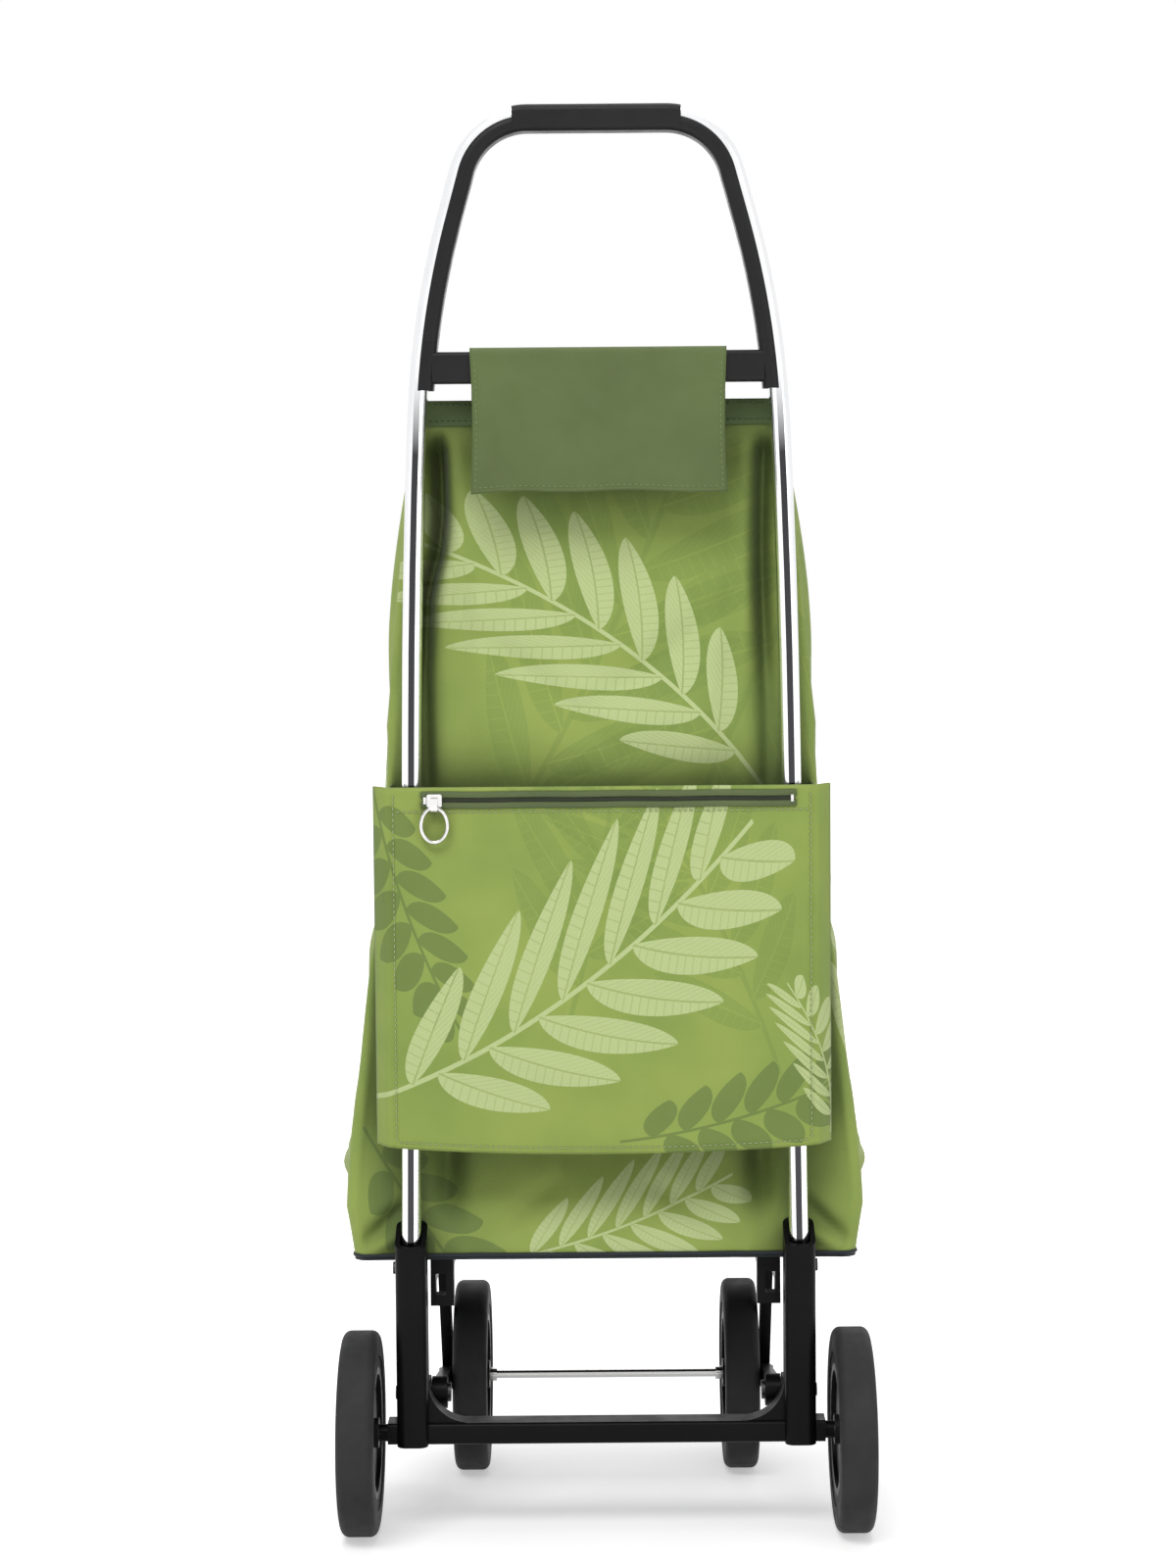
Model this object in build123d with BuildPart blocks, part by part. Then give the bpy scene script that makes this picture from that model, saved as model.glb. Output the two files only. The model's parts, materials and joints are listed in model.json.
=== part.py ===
from build123d import *
from math import atan2, cos, degrees, radians, sin
import os

# Four-wheeled shopping trolley with a fabric bag, a bent aluminium tube frame and a fold-up front axle frame.
#
# Millimetres, +Z up, floor at Z = 0. The user and the handle are on the -Y side, the front wheels on +Y.
# It is drawn with Y = 0 at the rear axle and handed over with the origin on the floor under its middle.
# The tube frame and the two rear legs lie in one plane that passes through the rear axle and leans back.

# ---- wheels and axles
wheel_radius = 75.0
wheel_width = 27.0
tyre_bore_radius = 48.0
tyre_shoulder = 6.0
rim_band = 5.0
rim_web = 6.0
rim_dish = 4.0
rim_ribs = 6
rim_rib_thick = 3.0
bead_step = 1.0
bead_width = 8.5
hub_radius = 11.0
wheelbase = 190.0
rear_wheel_x = 183.2
front_wheel_x = 107.6
rear_axle_radius = 4.0
front_axle_radius = 3.5
spacer_radius = 6.4
front_spacer_radius = 5.5
axle_cap_radius = 7.0
axle_cap_length = 3.2
axle_cap_floor = 0.9
collar_length = 5.5

# ---- fits
running_gap = 0.05
face_gap = 0.3
seat_gap = 0.1

# ---- leaning frame plane
lean = 4.0
leg_x = 144.0
leg_width = 23.0
leg_front = 15.0
leg_rear = 18.0
leg_edge = 6.5
socket_floor = 100.0
socket_rim_front = 157.0
socket_rim_rear = 143.5
socket_side_gap = 0.75
socket_front_wall = 4.0
socket_rear_wall = 2.5
socket_corner = 5.0
rivet_height = 125.0
rivet_radius = 3.0
rivet_head_radius = 4.6
rivet_head = 2.2
beam_low = -6.5
beam_high = 9.5
beam_half_depth = 11.0
beam_edge = 3.0
beam_end_x = 162.7
gusset_radius = 31.0
gusset_half_depth = 7.5
gusset_root = 2.0

# ---- aluminium tube
tube_width = 14.5
tube_depth = 20.0
tube_wall = 2.0
groove_width = 4.6
groove_depth = 1.0
tube_tilt = 0.75
tube_foot_x = 144.4
tube_straight = 426.0
bow_radius = 7100.0
bow_turn = 1.85
shoulder_radius = 645.0
shoulder_turn = 12.9
neck_length = 35.4
corner_radius = 52.0

# ---- black handle mouldings
liner_wall = 4.0
liner_lip = 2.5
grip_skin = 1.0
liner_reach = 0.8
liner_corner = 5.0
grip_half_length = 61.0
crossbar_height = 790.0
crossbar_tall = 22.7
crossbar_half_depth = 12.0
crossbar_half_length = 120.5
crossbar_edge = 3.0
collar_above = 7.0
collar_below = 5.0

# ---- fabric flap over the crossbar
flap_half_width = 93.0
flap_thick = 2.0
flap_low = 700.0
flap_tuck_low = 742.0

# ---- bag
cloth = 3.0
bag_back = 15.5
bag_floor_z = 204.0
bag_front_low_y = 230.0
bag_front_high_y = 138.0
bag_corner_rear = 8.0
bag_corner_front = 30.0
bag_skirt_z = 242.0
bag_waist_z = 604.0
bag_hem_z = 823.0
bag_top_z = 841.0
bag_width_floor = 376.0
bag_width_skirt = 386.0
bag_width_waist = 322.0
bag_width_hem = 272.0
bag_width_top = 268.0
hem_overhang = 0.8
base_board_thick = 2.5
base_board_inset = 4.0

# ---- rear pocket, zip and puller
pocket_half_width = 168.0
pocket_low = 219.5
pocket_high = 485.0
pocket_sag = 6.0
pocket_face_gap = 3.0
pocket_thick = 3.5
pocket_seam_inset = 13.0
zip_height = 475.7
zip_inset_left = 36.0
zip_inset_right = 26.0
zip_tape_height = 12.0
zip_tape_thick = 0.8
zip_chain_height = 3.6
zip_chain_thick = 1.2
zip_stop_length = 2.0
zip_stop_height = 5.0
slider_from_end = 10.0
slider_length = 11.0
slider_height = 9.4
slider_plate = 2.0
slider_corner = 1.5
bail_length = 7.0
bail_width = 5.0
bail_drop = 5.0
bail_hole_radius = 2.0
bail_wall = 1.3
ring_wire_radius = 1.4
ring_half_width = 9.6
ring_half_height = 12.6

# ---- fold-up front frame
pivot_y = 30.0
pivot_z = 98.0
pivot_pin_radius = 4.0
pivot_boss_radius = 12.0
pivot_ear_radius = 13.0
pivot_head_radius = 5.0
pivot_head = 3.6
pivot_cap_radius = 7.0
pivot_cap_length = 2.4
arm_leg_gap = 1.0
arm_web = 4.0
arm_thick = 8.5
arm_strut = 17.0
arm_axle_boss_radius = 11.0
arm_pivot_boss = 11.5
arm_thin_above_z = 180.0
rail_y_rear = 16.0
rail_y_front = 122.0
rail_width = 17.5
rail_thick = 6.0
rail_web_z = 182.0
rail_block_z = 166.0
rail_block_length = 14.0
rail_slot_low_z = 174.0
rail_slot_high_z = 190.0
rail_slot_width = 7.5
tray_thick = 3.4
tray_edge = 2.5
tray_rib = 4.0
tray_rib_drop = 3.0
tray_set_in = 20.0
tray_slot_length = 34.0
tray_slot_width = 9.0
tray_slot_columns = 5
tray_slot_rows = 3
tray_slot_pitch_x = 42.0
tray_slot_pitch_y = 24.0
tray_screw_radius = 2.0
tray_screw_head_radius = 4.0
tray_screw_head = 2.2
tray_screw_length = 9.0
tray_screw_inset_front = 14.0
tray_screw_inset_rear = 30.0
tray_corner = 6.0

# ---- derived positions
lean_cos = cos(radians(lean))
lean_sin = sin(radians(lean))
leg_inner_x = leg_x - leg_width / 2
leg_outer_x = leg_x + leg_width / 2
arm_outer_x = leg_inner_x - arm_leg_gap
front_wheel_outer_x = front_wheel_x + wheel_width / 2
front_wheel_inner_x = front_wheel_x - wheel_width / 2
rear_wheel_inner_x = rear_wheel_x - wheel_width / 2
rear_hub_outer_x = rear_wheel_x + wheel_width / 2 - axle_cap_length - face_gap
tube_rear = tube_depth / 2
pocket_inside = tube_rear + pocket_face_gap
pocket_outside = pocket_inside + pocket_thick
pocket_seam_x = pocket_half_width - pocket_seam_inset
zip_from_x = zip_inset_left - pocket_half_width
zip_to_x = pocket_half_width - zip_inset_right
slider_x = zip_from_x + slider_from_end
tape_outside = pocket_outside + zip_tape_thick
chain_outside = tape_outside + zip_chain_thick
crossbar_low = crossbar_height - crossbar_tall / 2
crossbar_high = crossbar_height + crossbar_tall / 2
liner_low = crossbar_high + collar_above
collar_low = crossbar_low - collar_below
rail_top_z = bag_floor_z - face_gap - tray_thick
tray_top_z = rail_top_z + tray_thick
slot_center_x = arm_outer_x - arm_web - rail_slot_width / 2

# local x = X, local y = up along the leaning tubes, local z = towards the user
frame_plane = Plane(origin=(0, 0, wheel_radius), x_dir=(1, 0, 0), z_dir=(0, -lean_cos, -lean_sin))
frame_axis = Axis(frame_plane.origin, frame_plane.y_dir)


def frame_slice(depth):
    """Plane parallel to the leaning frame, `depth` towards the user from the tube centres."""
    return frame_plane.offset(depth)


def frame_level(height):
    """Plane square to the leaning frame at `height` along it: local x = X, local y = towards the front."""
    return Plane(
        origin=frame_plane.from_local_coords(Vector(0, height, 0)),
        x_dir=(1, 0, 0),
        z_dir=(0, -lean_sin, lean_cos),
    )


def side_plane(x):
    """Plane square to X at `x`: local x = Y, local y = Z."""
    return Plane(origin=(x, 0, 0), x_dir=(0, 1, 0), z_dir=(1, 0, 0))


def frame_side_plane(x):
    """Plane square to X at `x` in the leaning frame: local x = towards the front, local y = up the tubes."""
    return Plane(origin=(x, 0, wheel_radius), x_dir=(0, lean_cos, lean_sin), z_dir=(1, 0, 0))


def x_cylinder(radius, x_from, x_to, y, z, mode=Mode.ADD):
    """Round bar or bore along X between two X positions."""
    with BuildSketch(side_plane(min(x_from, x_to))) as profile:
        with Locations((y, z)):
            Circle(radius)
    extrude(profile.sketch, amount=abs(x_to - x_from), mode=mode)


def frame_point(height, depth):
    """Y and Z of a point `height` up the leaning frame and `depth` towards the user."""
    spot = frame_plane.from_local_coords(Vector(0, height, depth))
    return spot.Y, spot.Z


def arch_wire():
    """Centre line of the bent tube, from the floor of the right socket over the arch to the left socket."""
    leaning_in = tube_tilt + bow_turn + shoulder_turn
    with BuildLine() as line:
        foot = PolarLine((tube_foot_x, socket_floor + seat_gap), tube_straight, 90 + tube_tilt)
        bow = JernArc(foot @ 1, foot % 1, bow_radius, bow_turn)
        shoulder = JernArc(bow @ 1, bow % 1, shoulder_radius, shoulder_turn)
        neck = PolarLine(shoulder @ 1, neck_length, 90 + leaning_in)
        corner = JernArc(neck @ 1, neck % 1, corner_radius, 90 - leaning_in)
        top = Line(corner @ 1, (-(corner @ 1).X, (corner @ 1).Y))
        far_corner = JernArc(top @ 1, top % 1, corner_radius, 90 - leaning_in)
        far_neck = PolarLine(far_corner @ 1, neck_length, 270 - leaning_in)
        far_shoulder = JernArc(far_neck @ 1, far_neck % 1, shoulder_radius, shoulder_turn)
        far_bow = JernArc(far_shoulder @ 1, far_shoulder % 1, bow_radius, bow_turn)
        PolarLine(far_bow @ 1, tube_straight, 270 - tube_tilt)
    return frame_plane.from_local_coords(line.wire())


arch = arch_wire()
# square to the tube at its right foot: local x = inwards, local y = towards the user
arch_section = Plane(origin=arch @ 0, x_dir=frame_plane.z_dir.cross(arch % 0), z_dir=arch % 0)


def tube_outline(grow=0.0, mode=Mode.ADD):
    """Outline of the tube, long across the frame plane and round at both ends, grown by `grow`."""
    SlotOverall(tube_depth + 2 * grow, tube_width + 2 * grow, rotation=90, mode=mode)


def liner_outline(outer_reach):
    """Black moulding around the inner side of the tube, reaching `outer_reach` past its middle."""
    inner_reach = tube_width / 2 + liner_wall
    with Locations(((inner_reach - outer_reach) / 2, 0)):
        RectangleRounded(inner_reach + outer_reach, tube_depth + 2 * liner_lip, liner_corner)
    tube_outline(seat_gap, Mode.SUBTRACT)


def height_band(low, high, mode=Mode.INTERSECT):
    """Keeps or removes what lies between two heights along the leaning frame."""
    with BuildSketch(frame_level(low)) as profile:
        Rectangle(3 * leg_x, 3 * leg_x)
    extrude(profile.sketch, amount=high - low, mode=mode)


def x_band(low, high):
    """Keeps what lies between two X positions."""
    with BuildSketch(side_plane(low)) as profile:
        Rectangle(4 * liner_low, 4 * liner_low)
    extrude(profile.sketch, amount=high - low, mode=Mode.INTERSECT)


def rivet_bore(radius, mode=Mode.SUBTRACT):
    """Bore along X where the rivet holds the tube in the leg."""
    y, z = frame_point(rivet_height, 0)
    x_cylinder(radius, -leg_outer_x, leg_outer_x, y, z, mode)


# ---- tube frame
with BuildPart() as frame_tube:
    with BuildSketch(arch_section):
        tube_outline()
        tube_outline(-tube_wall, Mode.SUBTRACT)
        with Locations((0, tube_depth / 2)):
            Rectangle(groove_width, 2 * groove_depth, mode=Mode.SUBTRACT)
    sweep(path=arch)
    rivet_bore(rivet_radius + running_gap)
frame_tube.part.label = "frame_tube"

with BuildPart() as handle_grip:
    with BuildSketch(arch_section):
        liner_outline(tube_width / 2 + grip_skin)
    sweep(path=arch)
    height_band(liner_low, 2 * liner_low)
    x_band(-grip_half_length, grip_half_length)
handle_grip.part.label = "handle_grip"

with BuildPart() as grip_liner_left:
    with BuildSketch(arch_section):
        liner_outline(liner_reach)
    sweep(path=arch)
    height_band(liner_low, 2 * liner_low)
    x_band(-leg_outer_x, -grip_half_length - seat_gap)
grip_liner_left.part.label = "grip_liner_left"

with BuildPart() as grip_liner_right:
    add(grip_liner_left.part.mirror(Plane.YZ))
grip_liner_right.part.label = "grip_liner_right"

with BuildPart() as handle_crossbar:
    with BuildSketch(arch_section):
        liner_outline(liner_reach)
    sweep(path=arch)
    height_band(collar_low, liner_low - seat_gap)
    with BuildSketch(frame_side_plane(-crossbar_half_length)):
        with Locations((0, crossbar_height)):
            RectangleRounded(2 * crossbar_half_depth, crossbar_tall, crossbar_edge)
    extrude(amount=2 * crossbar_half_length)
handle_crossbar.part.label = "handle_crossbar"

# ---- rear chassis moulding and what it holds
with BuildPart() as rear_chassis:
    with BuildSketch(frame_slice(-leg_front)):
        with Locations((-leg_x, (beam_low + socket_rim_front) / 2), (leg_x, (beam_low + socket_rim_front) / 2)):
            Rectangle(leg_width, socket_rim_front - beam_low)
    extrude(amount=leg_front + leg_rear)
    fillet(rear_chassis.edges().filter_by(frame_axis), leg_edge)
    # socket mouths fall towards the user
    with BuildSketch(frame_side_plane(-leg_outer_x)):
        with BuildLine():
            Polyline(
                (-leg_rear, socket_rim_rear),
                (leg_front, socket_rim_front),
                (leg_front, 2 * socket_rim_front),
                (-leg_rear, 2 * socket_rim_front),
                close=True,
            )
        make_face()
    extrude(amount=2 * leg_outer_x, mode=Mode.SUBTRACT)
    # cross beam, which runs out to the rear wheels and holds their axle
    with BuildSketch(frame_side_plane(-beam_end_x)):
        with Locations((0, (beam_low + beam_high) / 2)):
            RectangleRounded(2 * beam_half_depth, beam_high - beam_low, beam_edge)
    extrude(amount=2 * beam_end_x)
    # gussets that round off the corners between the legs and the beam
    with BuildSketch(frame_slice(-gusset_half_depth)):
        for side in (-1, 1):
            gusset_side = gusset_radius + gusset_root
            with Locations((side * (leg_inner_x + gusset_root), beam_high - gusset_root)):
                gusset_align = Align.MIN if side < 0 else Align.MAX
                Rectangle(gusset_side, gusset_side, align=(gusset_align, Align.MIN))
            with Locations((side * (leg_inner_x - gusset_radius), beam_high + gusset_radius)):
                Circle(gusset_radius, mode=Mode.SUBTRACT)
    extrude(amount=2 * gusset_half_depth)
    # ears that carry the pivot of the front frame
    for ear_x in (-leg_outer_x, leg_inner_x):
        with BuildSketch(side_plane(ear_x)):
            with Locations((pivot_y, pivot_z)):
                Circle(pivot_ear_radius)
            with Locations((pivot_y / 2, pivot_z)):
                Rectangle(pivot_y, 2 * pivot_ear_radius)
        extrude(amount=leg_width)
    x_cylinder(rear_axle_radius + running_gap, -beam_end_x, beam_end_x, 0, wheel_radius, Mode.SUBTRACT)
    # deep sockets for the tube ends
    with BuildSketch(frame_level(socket_floor)):
        socket_length = leg_front - socket_front_wall + leg_rear - socket_rear_wall
        socket_middle = (leg_front - socket_front_wall - leg_rear + socket_rear_wall) / 2
        with Locations((-leg_x, socket_middle), (leg_x, socket_middle)):
            RectangleRounded(tube_width + 2 * socket_side_gap, socket_length, socket_corner)
    extrude(amount=socket_rim_front, mode=Mode.SUBTRACT)
    rivet_bore(rivet_radius + running_gap)
    x_cylinder(pivot_pin_radius + running_gap, -leg_outer_x, leg_outer_x, pivot_y, pivot_z, Mode.SUBTRACT)
rear_chassis.part.label = "rear_chassis"

rivet_y, rivet_z = frame_point(rivet_height, 0)
with BuildPart() as tube_rivets:
    for side in (-1, 1):
        x_cylinder(rivet_radius, side * leg_inner_x, side * leg_outer_x, rivet_y, rivet_z)
        x_cylinder(rivet_head_radius, side * leg_outer_x, side * (leg_outer_x + rivet_head), rivet_y, rivet_z)
tube_rivets.part.label = "tube_rivets"

rear_cap_x = rear_hub_outer_x + face_gap
with BuildPart() as rear_axle:
    rear_axle_end_x = rear_cap_x + axle_cap_length - axle_cap_floor - running_gap
    x_cylinder(rear_axle_radius, -rear_axle_end_x, rear_axle_end_x, 0, wheel_radius)
rear_axle.part.label = "rear_axle"


def push_cap(side, x_from, length, radius, axle_radius, y, z):
    """Round cap pressed over an axle end, closed on its outer face; x_from faces the piece it retains."""
    x_cylinder(radius, side * x_from, side * (x_from + length), y, z)
    bore_end = x_from + length - axle_cap_floor
    x_cylinder(axle_radius, side * x_from, side * bore_end, y, z, Mode.SUBTRACT)


with BuildPart() as rear_axle_caps:
    for side in (-1, 1):
        push_cap(side, rear_cap_x, axle_cap_length, axle_cap_radius, rear_axle_radius, 0, wheel_radius)
rear_axle_caps.part.label = "rear_axle_caps"

with BuildPart() as rear_wheel_spacers:
    for side in (-1, 1):
        spacer_from = side * (beam_end_x + seat_gap)
        spacer_to = side * (rear_wheel_inner_x - face_gap)
        x_cylinder(spacer_radius, spacer_from, spacer_to, 0, wheel_radius)
        x_cylinder(rear_axle_radius + running_gap, spacer_from, spacer_to, 0, wheel_radius, Mode.SUBTRACT)
rear_wheel_spacers.part.label = "rear_wheel_spacers"


# ---- wheels
def wheel_plane(center_x, center_y):
    """Plane through an axle: local x = X measured from the wheel's middle, local y = radius."""
    return Plane(origin=(center_x, center_y, wheel_radius), x_dir=(1, 0, 0), z_dir=(0, -1, 0))


def spin(profile, plane):
    """Turns a wheel profile about the axle."""
    revolve(profile.sketch, axis=Axis(plane.origin, (1, 0, 0)))


def add_tyre(center_x, center_y):
    """Foam tyre with rounded shoulders and a shallow step at its bead."""
    plane = wheel_plane(center_x, center_y)
    with BuildSketch(plane) as profile:
        with Locations((0, tyre_bore_radius)):
            Rectangle(wheel_width, wheel_radius - tyre_bore_radius, align=(Align.CENTER, Align.MIN))
        fillet(profile.vertices().group_by(Axis.Y)[-1], tyre_shoulder)
        with Locations((-wheel_width / 2, tyre_bore_radius), (wheel_width / 2, tyre_bore_radius)):
            Rectangle(2 * bead_step, 2 * bead_width, mode=Mode.SUBTRACT)
    spin(profile, plane)


def add_rim(center_x, center_y, inner_side, hub_outer, axle_radius):
    """Dished rim: web near the face that looks to the middle of the trolley, ribs behind it."""
    plane = wheel_plane(center_x, center_y)
    inner_face = inner_side * wheel_width / 2
    with BuildSketch(plane) as profile:
        with Locations((0, tyre_bore_radius)):
            Rectangle(wheel_width - 2 * bead_step, rim_band, align=(Align.CENTER, Align.MAX))
        with Locations((inner_face - inner_side * (rim_dish + rim_web / 2), 0)):
            Rectangle(rim_web, tyre_bore_radius - rim_band / 2, align=(Align.CENTER, Align.MIN))
        with Locations(((inner_face + hub_outer) / 2, 0)):
            Rectangle(abs(inner_face - hub_outer), hub_radius, align=(Align.CENTER, Align.MIN))
        Rectangle(2 * wheel_width, 2 * (axle_radius + running_gap), mode=Mode.SUBTRACT)
    spin(profile, plane)
    rib_from = center_x + inner_face - inner_side * (rim_dish + rim_web / 2)
    rib_to = center_x - inner_face + inner_side * (rim_dish + bead_step)
    with BuildSketch(side_plane(min(rib_from, rib_to))) as ribs:
        with Locations((center_y, wheel_radius)):
            with PolarLocations((hub_radius + tyre_bore_radius - rim_band) / 2, rim_ribs):
                Rectangle(tyre_bore_radius - hub_radius - rim_band / 2, rim_rib_thick)
    extrude(ribs.sketch, amount=abs(rib_to - rib_from))


with BuildPart() as rear_tyre_left:
    add_tyre(-rear_wheel_x, 0)
rear_tyre_left.part.label = "rear_tyre_left"

with BuildPart() as rear_tyre_right:
    add_tyre(rear_wheel_x, 0)
rear_tyre_right.part.label = "rear_tyre_right"

with BuildPart() as front_tyre_left:
    add_tyre(-front_wheel_x, wheelbase)
front_tyre_left.part.label = "front_tyre_left"

with BuildPart() as front_tyre_right:
    add_tyre(front_wheel_x, wheelbase)
front_tyre_right.part.label = "front_tyre_right"

rear_hub_outer = rear_hub_outer_x - rear_wheel_x
with BuildPart() as rear_rim_left:
    add_rim(-rear_wheel_x, 0, 1, -rear_hub_outer, rear_axle_radius)
rear_rim_left.part.label = "rear_rim_left"

with BuildPart() as rear_rim_right:
    add_rim(rear_wheel_x, 0, -1, rear_hub_outer, rear_axle_radius)
rear_rim_right.part.label = "rear_rim_right"

with BuildPart() as front_rim_left:
    add_rim(-front_wheel_x, wheelbase, 1, -wheel_width / 2, front_axle_radius)
front_rim_left.part.label = "front_rim_left"

with BuildPart() as front_rim_right:
    add_rim(front_wheel_x, wheelbase, -1, wheel_width / 2, front_axle_radius)
front_rim_right.part.label = "front_rim_right"


# ---- fold-up front frame
def strut(start, end, width):
    """Round-ended bar between two sketch points."""
    along = Vector(*end) - Vector(*start)
    middle = (Vector(*end) + Vector(*start)) / 2
    with Locations((middle.X, middle.Y)):
        SlotCenterToCenter(along.length, width, rotation=degrees(atan2(along.Y, along.X)))


def x_block(x_from, x_to, y_from, y_to, z_from, z_to, mode=Mode.ADD):
    """Rectangular block between pairs of X, Y and Z positions."""
    with BuildSketch(side_plane(min(x_from, x_to))) as profile:
        with Locations(((y_from + y_to) / 2, (z_from + z_to) / 2)):
            Rectangle(y_to - y_from, z_to - z_from)
    extrude(profile.sketch, amount=abs(x_to - x_from), mode=mode)


strut_top = (rail_y_front - arm_strut / 2, rail_top_z - arm_strut / 2)
axle_spot = (wheelbase, wheel_radius)
pivot_spot = (pivot_y, pivot_z)


def add_arm(side):
    """Side arm: pivot, lower strut, front strut past the axle and the shelf under the bag."""
    outer = side * arm_outer_x
    with BuildSketch(side_plane(min(outer, outer - side * arm_web))) as thin:
        strut(axle_spot, strut_top, arm_strut)
        with Locations(((rail_y_rear + rail_y_front) / 2, (rail_web_z + rail_top_z) / 2)):
            Rectangle(rail_y_front - rail_y_rear, rail_top_z - rail_web_z)
    extrude(thin.sketch, amount=arm_web)
    with BuildSketch(side_plane(min(outer, outer - side * arm_thick))) as thick:
        strut(axle_spot, strut_top, arm_strut)
        strut(pivot_spot, axle_spot, arm_strut)
        with Locations(axle_spot):
            Circle(arm_axle_boss_radius)
        with Locations((wheelbase / 2, arm_thin_above_z)):
            Rectangle(2 * wheelbase, wheelbase, align=(Align.CENTER, Align.MIN), mode=Mode.SUBTRACT)
    extrude(thick.sketch, amount=arm_thick)
    x_cylinder(pivot_boss_radius, outer, outer - side * arm_pivot_boss, pivot_y, pivot_z)
    shelf_inner = outer - side * rail_width
    x_block(outer, shelf_inner, rail_y_rear, rail_y_front, rail_top_z - rail_thick, rail_top_z)
    block_front = rail_y_rear + rail_block_length
    x_block(outer, shelf_inner, rail_y_rear, block_front, rail_block_z, rail_top_z)
    slot_outer = side * (slot_center_x + rail_slot_width / 2)
    slot_inner = side * (slot_center_x - rail_slot_width / 2)
    x_block(slot_outer, slot_inner, 0, block_front, rail_slot_low_z, rail_slot_high_z, Mode.SUBTRACT)
    x_cylinder(front_axle_radius + running_gap, outer, shelf_inner, wheelbase, wheel_radius, Mode.SUBTRACT)
    x_cylinder(pivot_pin_radius + running_gap, outer, shelf_inner, pivot_y, pivot_z, Mode.SUBTRACT)
    with Locations(*[spot for spot in tray_screw_spots if spot[0] * side > 0]):
        Cylinder(tray_screw_radius + running_gap, 4 * rail_thick, mode=Mode.SUBTRACT)


shelf_middle_x = arm_outer_x - rail_width / 2
tray_screw_spots = [
    (side * shelf_middle_x, y, rail_top_z)
    for side in (-1, 1)
    for y in (rail_y_rear + tray_screw_inset_rear, rail_y_front - tray_screw_inset_front)
]

with BuildPart() as front_arm_left:
    add_arm(-1)
front_arm_left.part.label = "front_arm_left"

with BuildPart() as front_arm_right:
    add_arm(1)
front_arm_right.part.label = "front_arm_right"

pivot_boss_x = arm_outer_x - arm_pivot_boss
pivot_cap_x = pivot_boss_x - face_gap
with BuildPart() as front_pivot_pins:
    for side in (-1, 1):
        pin_tip = side * (pivot_cap_x - pivot_cap_length + axle_cap_floor + running_gap)
        head_end = side * (leg_outer_x + pivot_head)
        x_cylinder(pivot_pin_radius, pin_tip, side * leg_outer_x, pivot_y, pivot_z)
        x_cylinder(pivot_head_radius, side * leg_outer_x, head_end, pivot_y, pivot_z)
front_pivot_pins.part.label = "front_pivot_pins"

with BuildPart() as front_pivot_caps:
    for side in (-1, 1):
        push_cap(-side, -pivot_cap_x, pivot_cap_length, pivot_cap_radius, pivot_pin_radius, pivot_y, pivot_z)
front_pivot_caps.part.label = "front_pivot_caps"

with BuildPart() as bag_tray:
    tray_half_width = arm_outer_x - tray_edge
    tray_y_rear = rail_y_rear + tray_set_in
    tray_middle_y = (tray_y_rear + rail_y_front) / 2
    with BuildSketch(Plane.XY.offset(rail_top_z)):
        with Locations((0, tray_middle_y)):
            RectangleRounded(2 * tray_half_width, rail_y_front - tray_y_rear, tray_corner)
            with GridLocations(tray_slot_pitch_x, tray_slot_pitch_y, tray_slot_columns, tray_slot_rows):
                SlotOverall(tray_slot_length, tray_slot_width, mode=Mode.SUBTRACT)
    extrude(amount=tray_thick)
    # stiffening ribs that drop between the two shelves
    rib_half_length = arm_outer_x - rail_width - face_gap
    for rib_y in (tray_y_rear + tray_rib, rail_y_front - tray_rib):
        x_block(
            -rib_half_length,
            rib_half_length,
            rib_y - tray_rib / 2,
            rib_y + tray_rib / 2,
            rail_top_z - tray_rib_drop,
            rail_top_z,
        )
    with Locations(*[(x, y, tray_top_z) for x, y, _ in tray_screw_spots]):
        CounterSinkHole(tray_screw_radius + running_gap, tray_screw_head_radius + running_gap)
bag_tray.part.label = "bag_tray"

with BuildPart() as tray_screws:
    for x, y, _ in tray_screw_spots:
        with BuildSketch(Plane.XY.offset(tray_top_z - tray_screw_length)) as shank:
            with Locations((x, y)):
                Circle(tray_screw_radius)
        extrude(amount=tray_screw_length - tray_screw_head)
        with Locations((x, y, tray_top_z - tray_screw_head / 2)):
            Cone(tray_screw_radius, tray_screw_head_radius, tray_screw_head)
tray_screws.part.label = "tray_screws"

front_cap_x = arm_outer_x + face_gap
with BuildPart() as front_axle:
    front_axle_end_x = front_cap_x + axle_cap_length - axle_cap_floor - running_gap
    x_cylinder(front_axle_radius, -front_axle_end_x, front_axle_end_x, wheelbase, wheel_radius)
front_axle.part.label = "front_axle"

with BuildPart() as front_axle_caps:
    for side in (-1, 1):
        push_cap(side, front_cap_x, axle_cap_length, front_spacer_radius, front_axle_radius, wheelbase, wheel_radius)
front_axle_caps.part.label = "front_axle_caps"

with BuildPart() as front_wheel_spacers:
    for side in (-1, 1):
        spacer_from = side * (front_wheel_outer_x + face_gap)
        spacer_to = side * (arm_outer_x - arm_thick - seat_gap)
        x_cylinder(front_spacer_radius, spacer_from, spacer_to, wheelbase, wheel_radius)
        x_cylinder(
            front_axle_radius + running_gap, spacer_from, spacer_to, wheelbase, wheel_radius, Mode.SUBTRACT
        )
front_wheel_spacers.part.label = "front_wheel_spacers"

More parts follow.
